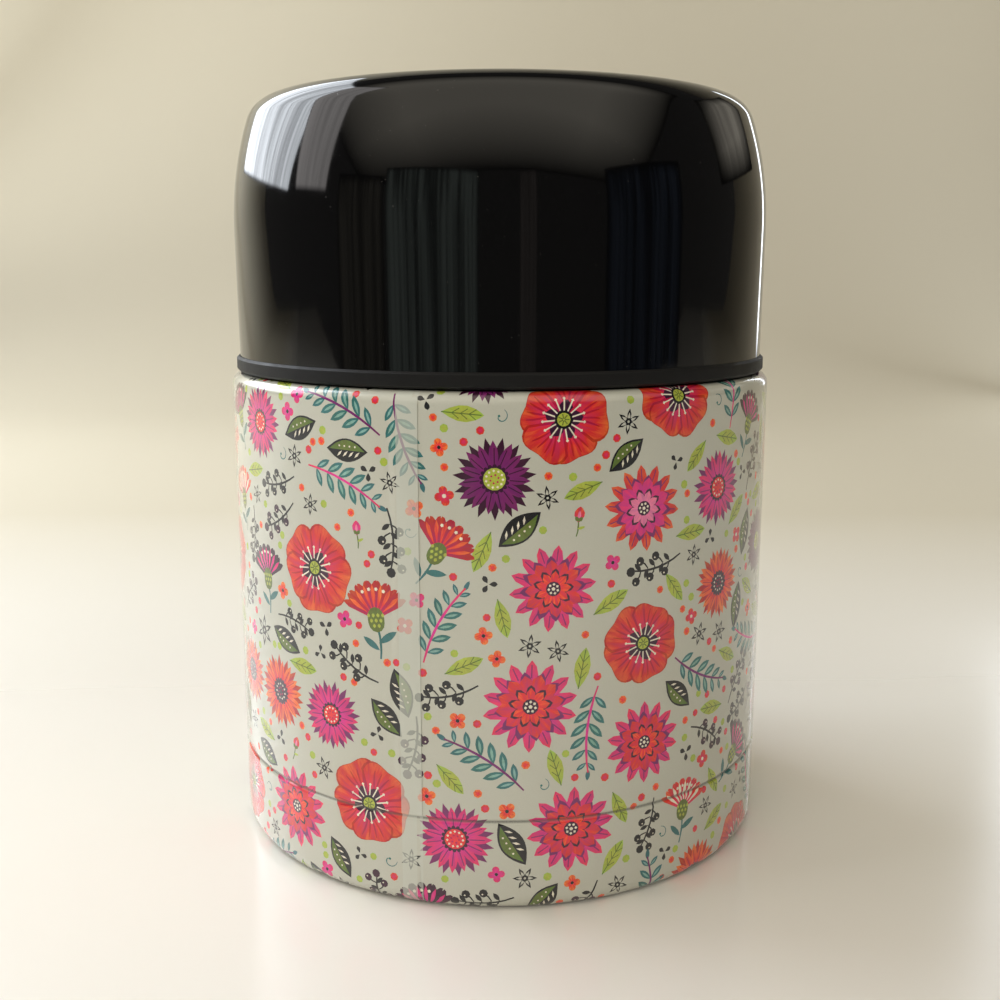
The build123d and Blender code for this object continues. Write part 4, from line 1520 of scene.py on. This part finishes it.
def rim_levels():
    """Underside and top of the rim ring, and the radius of its bore."""
    b, lid = scene().jar_body, scene().jar_lid
    foot_z = b.shoulder_z + b.film + lid.rim_gap
    return foot_z, foot_z + lid.rim_h, b.neck_r + lid.thread_room


def dome(inset=0.0, crown_lean=None):
    """Half outline of the shell: a leaning wall, a long arc and a tight arc up to crown_lean,
    all of them inset."""
    b, lid = scene().jar_body, scene().jar_lid
    _, foot_z, _ = rim_levels()
    foot_r = b.film_r - lid.step
    crown_lean = lid.crown_lean if crown_lean is None else crown_lean
    top_r = foot_r + lid.wall_h * math.tan(lid.draft)
    top = (top_r - inset * math.cos(lid.draft), foot_z + lid.wall_h + inset * math.sin(lid.draft))
    wall = straight((foot_r - inset / math.cos(lid.draft), foot_z), top)
    side, heading = arc_from(wall[-1], math.pi / 2 - lid.draft, lid.side_r - inset,
                             lid.draft + lid.side_lean)
    corner, heading = arc_from(side[-1], heading, lid.corner_r - inset, crown_lean - lid.side_lean,
                               0.5 * MM)
    return np.concatenate([wall, side[1:], corner[1:]]), heading


def ceiling_edge():
    """Edge of the shell's flat ceiling, as (radius, height)."""
    return dome(scene().jar_lid.wall, math.pi / 2)[0][-1]


def bowl_line(inset=0.0):
    """Half outline of the bowl from its collar to the middle of its ceiling."""
    lid = scene().jar_lid
    _, foot_z, bore_r = rim_levels()
    foot_z += lid.spigot_h + lid.skirt_rise
    ceiling_z = ceiling_edge()[1] - lid.disc_t - lid.headroom - lid.liner_wall
    corner_z = ceiling_z - lid.liner_corner_r * (1 - math.sin(lid.liner_draft))
    top_r = bore_r - (corner_z - foot_z) * math.tan(lid.liner_draft)
    top = (top_r + inset * math.cos(lid.liner_draft), corner_z + inset * math.sin(lid.liner_draft))
    wall = straight((bore_r + inset / math.cos(lid.liner_draft), foot_z), top)
    corner, _ = arc_from(wall[-1], math.pi / 2 + lid.liner_draft, lid.liner_corner_r + inset,
                         math.pi / 2 - lid.liner_draft)
    return np.concatenate([wall, corner[1:]])


def build_lid():
    """Shell, ring, bowl and both pads: closed outlines carried round the axis. The crown is an
    arc that is level at the axis; the foam ring fills the room between bowl and shell."""
    b, lid = scene().jar_body, scene().jar_lid
    rim_z, rim_top_z, bore_r = rim_levels()
    rim_r = b.film_r - lid.rim_step
    foot_r = b.film_r - lid.step
    spigot_r = foot_r - lid.wall - lid.spigot_fit
    spigot_z = rim_top_z + lid.spigot_h
    skirt_z = spigot_z + lid.skirt_rise
    skirt_r = bore_r + lid.skirt_wall
    cut = lid.rim_chamfer
    ease = scene().jar_stopper.ease

    outside, heading = dome()
    lean = math.pi - heading
    crown, _ = arc_from(outside[-1], heading, outside[-1][0] / math.sin(lean), lean)
    inside, _ = dome(lid.wall, math.pi / 2)
    ceiling = straight(inside[-1], (0, inside[-1][1]))
    shell = np.concatenate([outside, crown[1:], ceiling[::-1], inside[::-1][1:]])
    round_piece("lid_shell", "lid", "lid_gloss", shell)
    round_piece("lid_rim", "lid", "rim_plastic", bent([
        (bore_r, rim_z, ease),
        (rim_r - cut, rim_z, cut / 3), (rim_r, rim_z + cut, cut / 3),
        (rim_r, rim_top_z - cut, cut / 3), (rim_r - cut, rim_top_z, cut / 3),
        (spigot_r, rim_top_z), (spigot_r, spigot_z - cut), (spigot_r - cut, spigot_z),
        (skirt_r, spigot_z), (skirt_r, skirt_z), (bore_r, skirt_z)]))

    inner, outer = bowl_line(), bowl_line(lid.liner_wall)
    collar_r = foot_r - lid.wall - lid.collar_fit
    collar_z = skirt_z + lid.collar_h
    outer = outer[outer[:, 1] > collar_z]
    round_piece("lid_liner", "lid", "bowl_plastic", np.concatenate([
        [(collar_r, skirt_z), (collar_r, collar_z), (bore_r + lid.liner_wall, collar_z)], outer,
        [(0, outer[-1][1]), (0, inner[-1][1])], inner[::-1]]))

    room, _ = dome(lid.wall + lid.foam_clearance, math.pi / 2)
    bowl = bowl_line(lid.liner_wall + lid.foam_clearance)
    foam_top = collar_z + lid.foam_ring_h
    room = room[(room[:, 1] > collar_z) & (room[:, 1] < foam_top)]
    bowl = bowl[(bowl[:, 1] > collar_z) & (bowl[:, 1] < foam_top)]
    round_piece("lid_foam_ring", "lid_riser", "foam", np.concatenate([
        [(room[0][0], collar_z)], room, [(room[-1][0], foam_top), (bowl[-1][0], foam_top)],
        bowl[::-1], [(bowl[0][0], collar_z)]]), angles=128)
    edge_r, ceiling_z = ceiling_edge()
    disc_r = edge_r - lid.disc_margin
    round_piece("lid_foam_disc", "lid_lifter", "foam", bent([
        (0, ceiling_z - lid.disc_t),
        (disc_r, ceiling_z - lid.disc_t, ease),
        (disc_r, ceiling_z),
        (0, ceiling_z)]), angles=128)


# ---- Stopper ----

FLUTE_POINTS = 17  # points across a flute of the grip
LAND_POINTS = 9  # points from one flute's edge to the next flute
EDGE_SLACK = 1.001  # keeps a flute's own edge points inside it
PLATE_DROP = 0.01 * MM  # the plate lies this far below the grip's foot, clear of flutes
APRON = 0.2  # flat round the grip's foot, as a share of a flute's radius


def stopper_levels():
    """Radii and heights that the stopper's pieces share, from its plug up to its grip."""
    b, s = scene().jar_body, scene().jar_stopper
    plug_z = b.lip_z - s.plug_depth
    flange_z = b.lip_z + s.gasket_t
    flange_top_z = flange_z + s.flange_t
    cover_z = flange_top_z + s.cover_t
    return {
        "plug_r": b.mouth_r - s.plug_clearance,
        "plug_z": plug_z,
        "plug_floor_z": plug_z + s.plug_wall,
        "flange_r": rim_levels()[2] - s.flange_room,
        "flange_z": flange_z,
        "flange_top_z": flange_top_z,
        "cover_z": cover_z,
        "grip_z": cover_z + s.grip_h,
    }


def build_stopper():
    """Plug, gasket, foam and cover: closed outlines carried round the axis. The cover's radius
    is then cut back to the flutes of its grip."""
    b, s = scene().jar_body, scene().jar_stopper
    at = stopper_levels()
    plug_r, flange_r, tube_r = at["plug_r"], at["flange_r"], s.tube_bore_r + s.tube_wall
    plug_z, floor_z, hollow_r = at["plug_z"], at["plug_floor_z"], plug_r - s.plug_wall
    flange_z, flange_top_z, cover_z, grip_z = (
        at["flange_z"], at["flange_top_z"], at["cover_z"], at["grip_z"])
    round_piece("stopper_body", "stopper", "stopper_plastic", bent([
        (s.tube_bore_r, plug_z),
        (plug_r - s.plug_chamfer, plug_z),
        (plug_r, plug_z + s.plug_chamfer),
        (plug_r, flange_z),
        (flange_r, flange_z, s.ease),
        (flange_r, flange_top_z, s.ease),
        (hollow_r, flange_top_z),
        (hollow_r, floor_z),
        (tube_r, floor_z),
        (tube_r, flange_top_z),
        (s.tube_bore_r, flange_top_z)]))
    gasket_r = flange_r - s.gasket_inset
    inner_r, top_z = plug_r + s.slip, flange_z - s.slip / 2
    round_piece("stopper_gasket", "stopper_riser", "silicone", bent([
        (inner_r, b.lip_z),
        (gasket_r, b.lip_z, s.ease),
        (gasket_r, top_z),
        (inner_r, top_z)]))
    round_piece("stopper_foam", "stopper", "foam", bent([
        (tube_r + s.foam_slack, floor_z),
        (hollow_r - s.foam_slack, floor_z),
        (hollow_r - s.foam_slack, flange_top_z),
        (tube_r + s.foam_slack, flange_top_z)]), angles=96)

    lean = math.tan(s.grip_draft)
    axis_r = s.grip_r + s.flute_r - s.flute_depth
    half = math.asin(s.flute_r / axis_r)
    pitch = 2 * math.pi / s.flutes
    one = np.concatenate([np.linspace(-half, half, FLUTE_POINTS),
                          np.linspace(half, pitch - half, LAND_POINTS)[1:-1]])
    angles = (np.arange(s.flutes)[:, None] * pitch + one[None, :]).ravel()

    def reach(angle, height):
        """Distance to the flutes: along a ray, a flute of radius f with its axis at A and the
        angle a away starts at A cos a - sqrt(f^2 - A^2 sin^2 a). Its axis leans in with z."""
        away = (angle + pitch / 2) % pitch - pitch / 2
        axis = axis_r - (height - cover_z) * lean
        under = s.flute_r ** 2 - (axis * np.sin(away)) ** 2
        wall = axis * np.cos(away) - np.sqrt(np.maximum(under, 0))
        inside = (under > 0) & (np.abs(away) <= half * EDGE_SLACK)
        return np.where(inside & (height > cover_z - PLATE_DROP / 2), wall, np.inf)

    cover_r = flange_r - s.cover_step
    top_r = s.grip_r - s.grip_h * lean
    grip_in_r = s.grip_r - s.flute_depth - s.grip_wall
    plate = bent([
        (s.tube_bore_r, flange_top_z),
        (s.well_r + s.grip_wall, flange_top_z),
        (s.well_r + s.grip_wall, grip_z - s.grip_wall),
        (grip_in_r, grip_z - s.grip_wall),
        (grip_in_r, flange_top_z),
        (cover_r, flange_top_z),
        (cover_r, cover_z - PLATE_DROP, s.ease),
        (s.grip_r + s.flute_r * APRON, cover_z - PLATE_DROP),
        (s.grip_r, cover_z),
        (top_r, grip_z, s.grip_edge_r),
        (top_r - s.flute_depth - s.grip_edge_r, grip_z),
        (top_r - s.flute_depth - 2 * s.grip_edge_r, grip_z),
        (s.well_r + 2 * s.ease, grip_z),
        (s.well_r, grip_z, s.ease),
        (s.well_r, cover_z),
        (s.tube_bore_r, cover_z)], 0.4 * MM)
    round_piece("stopper_cover", "stopper", "cover_plastic", plate, angles, reach)


# ---- Vent valve ----

COIL_STEPS = 48  # steps of the spring in one turn
WIRE_SIDES = 10  # sides of the spring's wire


def build_vent():
    """Button, stem and seal as outlines carried round the axis, and the spring: a circle, the
    wire's section, carried along a helix."""
    s = scene().jar_stopper
    at = stopper_levels()
    top_z = at["grip_z"] - s.button_sink
    under_z = top_z - s.button_dish - s.button_wall
    seal_z = at["plug_z"] - s.seal_t
    button_r = s.well_r - s.button_clearance
    round_piece("vent_button", "vent", "button_plastic", bent([
        (0, top_z - s.button_dish),
        (button_r - s.button_lip, top_z, s.button_lip),
        (button_r, top_z, s.ease),
        (button_r, top_z - s.button_h),
        (button_r - s.button_wall, top_z - s.button_h),
        (button_r - s.button_wall, under_z),
        (s.stem_r + s.socket_wall, under_z),
        (s.stem_r + s.socket_wall, under_z - s.socket_h),
        (s.stem_r, under_z - s.socket_h),
        (s.stem_r, under_z),
        (0, under_z)]), angles=128)
    round_piece("vent_stem", "vent", "stopper_plastic", bent([
        (0, seal_z - s.head_t),
        (s.head_r, seal_z - s.head_t, s.ease),
        (s.head_r, seal_z),
        (s.stem_r, seal_z),
        (s.stem_r, under_z),
        (0, under_z)]), angles=96)
    round_piece("vent_seal", "vent", "silicone", bent([
        (s.stem_r, seal_z),
        (s.seal_r, seal_z),
        (s.seal_r, at["plug_z"], s.ease),
        (s.stem_r, at["plug_z"])]), angles=96)

    wire = s.spring_wire_r
    foot_z = at["cover_z"] + wire
    rise = under_z - wire - foot_z
    steps = int(s.spring_turns * COIL_STEPS)
    along = np.linspace(0, 1, steps + 1)[:, None]
    across = (np.arange(WIRE_SIDES) * 2 * math.pi / WIRE_SIDES)[None, :]
    turn = 2 * math.pi * s.spring_turns * along
    reach = s.spring_r + wire * np.cos(across)
    z = foot_z + rise * along + wire * np.sin(across)
    points = np.stack([reach * np.cos(turn), reach * np.sin(turn), z], -1)
    spring = piece("vent_spring_look", *swept(points, turned=True), "stopper", "spring_steel",
                   finish("spring_steel"), ["vent_spring"])
    1 - s.push / (rise + 2 * wire)
    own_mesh(spring)


# ---- Threads ----

def build_threads():
    """One ridge for the lid, on the neck and in its skirt, and several starts for the stopper,
    on the plug and in the mouth."""
    b, t = scene().jar_body, scene().jar_threads
    at = stopper_levels()
    _, rim_top_z, bore_r = rim_levels()
    full = 2 * math.pi
    piece("neck_thread", *ridge(b.neck_r, t.height, t.neck_w, rim_top_z + t.neck_up,
                                t.lid_lead * t.neck_turns, full * t.neck_turns),
          "jar", "shell_steel", finish("shell_steel"))
    piece("lid_thread", *ridge(bore_r, -t.height, t.skirt_w, rim_top_z + t.skirt_up,
                               t.lid_lead * t.skirt_turns, full * t.skirt_turns, t.skirt_start),
          "lid", "rim_plastic", finish("rim_plastic"))
    rise = t.plug_lead * t.start_sweep / full
    turns = np.arange(t.starts) * full / t.starts
    plug = [ridge(at["plug_r"], t.height, t.plug_w, at["plug_z"] + t.plug_up, rise,
                  t.start_sweep, turn) for turn in turns]
    piece("stopper_thread", *several(plug), "stopper", "stopper_plastic", finish("stopper_plastic"))
    mouth = [ridge(b.mouth_r, -t.height, t.mouth_w, at["plug_z"] + t.mouth_up, rise,
                   t.start_sweep, turn + t.mouth_turn * full / t.starts) for turn in turns]
    piece("mouth_thread", *several(mouth), "jar", "liner_steel", finish("liner_steel"))


# ---- Stage ----
# Places are in metres.

AIM = np.array([0, 0, 0.09])  # point that the panels face
HALF_W = 2.2  # half the width of the table and the wall
FRONT_Y = -0.34  # front edge of the table
WALL_Y = 0.95
WALL_H = 2.0
WALL_BEND = 0.35  # bend from the table up into the wall
BEND_STEP = 0.046  # longest step along it


def stage_finish(look):
    """Pale table that turns into the wall's colour behind the object."""
    make = Finish("table_and_wall")
    place = make.place()
    _, y, z = make.parts(place)
    cloud = make.noise(place, 3.0, 3.0)
    far = (y + z + cloud * 0.06).span(0.07, 0.31)
    colour = make.mix(far, look.floor, look.wall)
    return make.surface(Base_Color=colour, Roughness=far.span(0.0, 0.6, 0.20, 0.75))


def panel(name, azimuth, elevation, distance, width, height, strength, colour, edge, streaks=0.0):
    """Glowing sheet, square to the line from AIM to its middle. It fades over the share edge
    of its width and height, and has upright streaks. Its azimuth runs from the front to the
    left."""
    azimuth, elevation = math.radians(azimuth), math.radians(elevation)
    middle = AIM + distance * np.array([
        -math.sin(azimuth) * math.cos(elevation), -math.cos(azimuth) * math.cos(elevation),
        math.sin(elevation)])
    side = np.array([math.cos(azimuth), -math.sin(azimuth), 0.0])
    up = np.cross(side, AIM - middle)
    up *= math.copysign(1, up[2]) / np.linalg.norm(up)
    corners = np.array([middle + side * width / 2 * i + up * height / 2 * j
                        for i, j in ((-1, -1), (1, -1), (1, 1), (-1, 1))])
    mesh = bpy.data.meshes.new(name)
    mesh.from_pydata(corners.tolist(), [], [(0, 1, 2, 3)])
    mesh.uv_layers.new(name="UVMap").data.foreach_set("uv", [0, 0, 1, 0, 1, 1, 0, 1])
    make = Finish(name)
    u, v, _ = make.parts(make.node("ShaderNodeUVMap", {"uv_map": "UVMap"}))
    fade = u.span(0.0, edge) * (1 - u).span(0.0, edge) * v.span(0.0, edge) * (1 - v).span(0.0, edge)
    glow = fade
    if streaks:
        narrow = make.noise(make.join(u * 34.0, v * 0.8, 0.0), 1.0, 2.0)
        broad = make.noise(make.join(u * 7.0, v * 0.6, 5.0), 1.0, 1.0)
        glow = fade * (1 - streaks * (narrow * 0.6 + broad * 0.4).span(0.44, 0.56))
    shader = make.node("ShaderNodeEmission", inputs={"Color": make.toned(colour, glow),
                                                     "Strength": strength})
    mesh.materials.append(make.close(shader))
    thing = added(name, mesh)
    thing.visible_camera = False
    return thing


def build_stage():
    """Table that bends up into the wall, a line (y, z) carried along x, with the glowing panels,
    the surroundings, the lamps and the camera."""
    look = scene().jar_stage
    line = bent([(FRONT_Y, 0.0), (WALL_Y, 0.0, WALL_BEND), (WALL_Y, WALL_H)], BEND_STEP)
    x, y = np.meshgrid([-HALF_W, 0.0, HALF_W], line[:, 0])
    z = np.broadcast_to(line[:, 1:], x.shape)
    mesh = bpy.data.meshes.new("table_and_wall")
    mesh.from_pydata(np.stack([x, y, z], -1).reshape(-1, 3).tolist(), [],
                     faces_of(quads_of(np.arange(x.size).reshape(x.shape))))
    mesh.materials.append(stage_finish(look))
    mesh.shade_smooth()
    table = added("table_and_wall", mesh)

    day, warm = (0.89, 0.94, 1.0), (1.0, 0.925, 0.78)
    sky, soft = (0.92, 0.965, 1.0), (1.0, 0.95, 0.88)
    panel("window", 117, 33, 0.80, 0.68, 0.66, look.window, day, 0.02, 0.5)
    panel("curtain", 82, 33, 0.80, 0.26, 0.66, look.curtain, (1.0, 0.95, 0.93), 0.04, 0.3)
    panel("ceiling", 0, 58, 1.25, 4.4, 2.1, look.ceiling, warm, 0.30)
    panel("side_wall", -118, 22, 0.90, 0.50, 0.34, look.side_wall, warm, 0.3, 0.3)
    panel("doorway", 27, 3, 0.95, 0.64, 0.54, look.doorway, (0.86, 1.0, 0.90), 0.04, 0.8)
    panel("drape", 57, 1, 0.95, 0.35, 0.50, look.drape, (1.0, 0.92, 0.74), 0.10, 0.7)
    panel("post", -11, 3, 0.95, 0.11, 0.54, look.post, (1.0, 0.86, 0.78), 0.06, 0.5)
    panel("pane", -60, 3, 0.95, 0.60, 0.54, look.pane, (0.55, 0.70, 1.0), 0.10, 0.8)
    panel("bright_gap", -147, 14, 0.75, 0.035, 0.50, look.bright_gap, day, 0.05)

    world = bpy.data.worlds.new("room")
    world.use_nodes = True
    room = world.node_tree.nodes["Background"].inputs
    room["Color"].default_value = (*soft, 1.0)
    room["Strength"].default_value = look.world
    bpy.context.scene.world = world

    lamp("fill", (-0.30, -0.80, 0.36), (0, 0, 0.06), 0.9, 0.6, look.fill_power, soft)
    lamp("wash", (-1.1, -0.10, 1.1), (0.15, 0.95, 0.75), 0.6, 0.6, look.wash_power, sky)
    add_camera(look)


def lamp(name, place, target, width, height, power, colour):
    """Rectangular area lamp that faces target and isn't mirrored by glossy surfaces."""
    data = bpy.data.lights.new(name, "AREA")
    data.shape = "RECTANGLE"
    data.size, data.size_y = width, height
    data.energy = power
    data.color = colour
    thing = added(name, data)
    thing.rotation_euler = (Vector(target) - Vector(place)).to_track_quat("-Z", "Y").to_euler()
    thing.location = place
    thing.visible_glossy = False


def add_camera(look):
    """Camera in front of the object, which looks down by its pitch."""
    data = bpy.data.cameras.new("camera")
    data.sensor_width = 36.0
    data.lens = look.camera_lens
    data.clip_start = 0.01
    camera = added("camera", data)
    camera.location = (0.0, look.camera_y, look.camera_z)
    camera.rotation_euler = (math.pi / 2 - look.camera_pitch, 0.0, 0.0)
    bpy.context.scene.camera = camera


# ---- Add-on ----

class JAR_OT_stage(bpy.types.Operator):
    """Add the table, the backdrop, the lamps and the camera"""
    bl_idname = "food_jar.stage"
    bl_label = "Stage"
    bl_options = {"REGISTER", "UNDO"}

    def execute(self, context):
        build_stage()
        return {"FINISHED"}


class JAR_OT_body(bpy.types.Operator):
    """Build the steel shell, base cup, inner vessel and vacuum seal"""
    bl_idname = "food_jar.body"
    bl_label = "Steel body"
    bl_options = {"REGISTER", "UNDO"}

    def execute(self, context):
        build_body()
        return {"FINISHED"}


class JAR_OT_film(bpy.types.Operator):
    """Build the printed film with its flowers and its lap"""
    bl_idname = "food_jar.film"
    bl_label = "Printed film"
    bl_options = {"REGISTER", "UNDO"}

    def execute(self, context):
        build_film()
        return {"FINISHED"}


class JAR_OT_lid(bpy.types.Operator):
    """Build the cup lid: shell, rim ring, bowl and pads"""
    bl_idname = "food_jar.lid"
    bl_label = "Cup lid"
    bl_options = {"REGISTER", "UNDO"}

    def execute(self, context):
        build_lid()
        return {"FINISHED"}


class JAR_OT_stopper(bpy.types.Operator):
    """Build the stopper's plug, gasket, foam and fluted cover"""
    bl_idname = "food_jar.stopper"
    bl_label = "Stopper"
    bl_options = {"REGISTER", "UNDO"}

    def execute(self, context):
        build_stopper()
        return {"FINISHED"}


class JAR_OT_vent(bpy.types.Operator):
    """Build the vent button, stem, seal and spring"""
    bl_idname = "food_jar.vent"
    bl_label = "Vent valve"
    bl_options = {"REGISTER", "UNDO"}

    def execute(self, context):
        build_vent()
        return {"FINISHED"}


class JAR_OT_threads(bpy.types.Operator):
    """Build the ridges of both screw threads"""
    bl_idname = "food_jar.threads"
    bl_label = "Threads"
    bl_options = {"REGISTER", "UNDO"}

    def execute(self, context):
        build_threads()
        return {"FINISHED"}


OPERATORS = (JAR_OT_stage, JAR_OT_body, JAR_OT_film, JAR_OT_lid, JAR_OT_stopper, JAR_OT_vent,
             JAR_OT_threads)
GROUPS = {
    "jar_body": JarSizes,
    "jar_lid": LidSizes,
    "jar_stopper": StopperSizes,
    "jar_threads": ThreadSizes,
    "jar_print": PrintLook,
    "jar_finish": FinishLook,
    "jar_stage": StageLook,
}


class JAR_PT_panel(bpy.types.Panel):
    """Buttons and settings of the food jar"""
    bl_idname = "JAR_PT_panel"
    bl_label = "Food jar"
    bl_space_type = "VIEW_3D"
    bl_region_type = "UI"
    bl_category = "Food jar"

    def draw(self, context):
        for operator in OPERATORS:
            self.layout.operator(operator.bl_idname)
        for key, group in GROUPS.items():
            box = self.layout.box()
            box.label(text=group.__doc__)
            for name in group.__annotations__:
                box.prop(getattr(context.scene, key), name)


def register():
    """Registers the settings, the operators and the panel."""
    for group in GROUPS.values():
        bpy.utils.register_class(group)
    for key, group in GROUPS.items():
        setattr(bpy.types.Scene, key, PointerProperty(type=group))
    for operator in OPERATORS:
        bpy.utils.register_class(operator)
    bpy.utils.register_class(JAR_PT_panel)


def unregister():
    """Takes them away again, last first."""
    bpy.utils.unregister_class(JAR_PT_panel)
    for operator in reversed(OPERATORS):
        bpy.utils.unregister_class(operator)
    for key in GROUPS:
        delattr(bpy.types.Scene, key)
    for group in reversed(list(GROUPS.values())):
        bpy.utils.unregister_class(group)


def main():
    """Builds everything in order."""
    register()
    bpy.context.scene.view_settings.view_transform = "Standard"
    bpy.ops.food_jar.stage()
    bpy.ops.food_jar.body()
    bpy.ops.food_jar.film()
    bpy.ops.food_jar.lid()
    bpy.ops.food_jar.stopper()
    bpy.ops.food_jar.vent()
    bpy.ops.food_jar.threads()


if __name__ == "__main__":
    main()
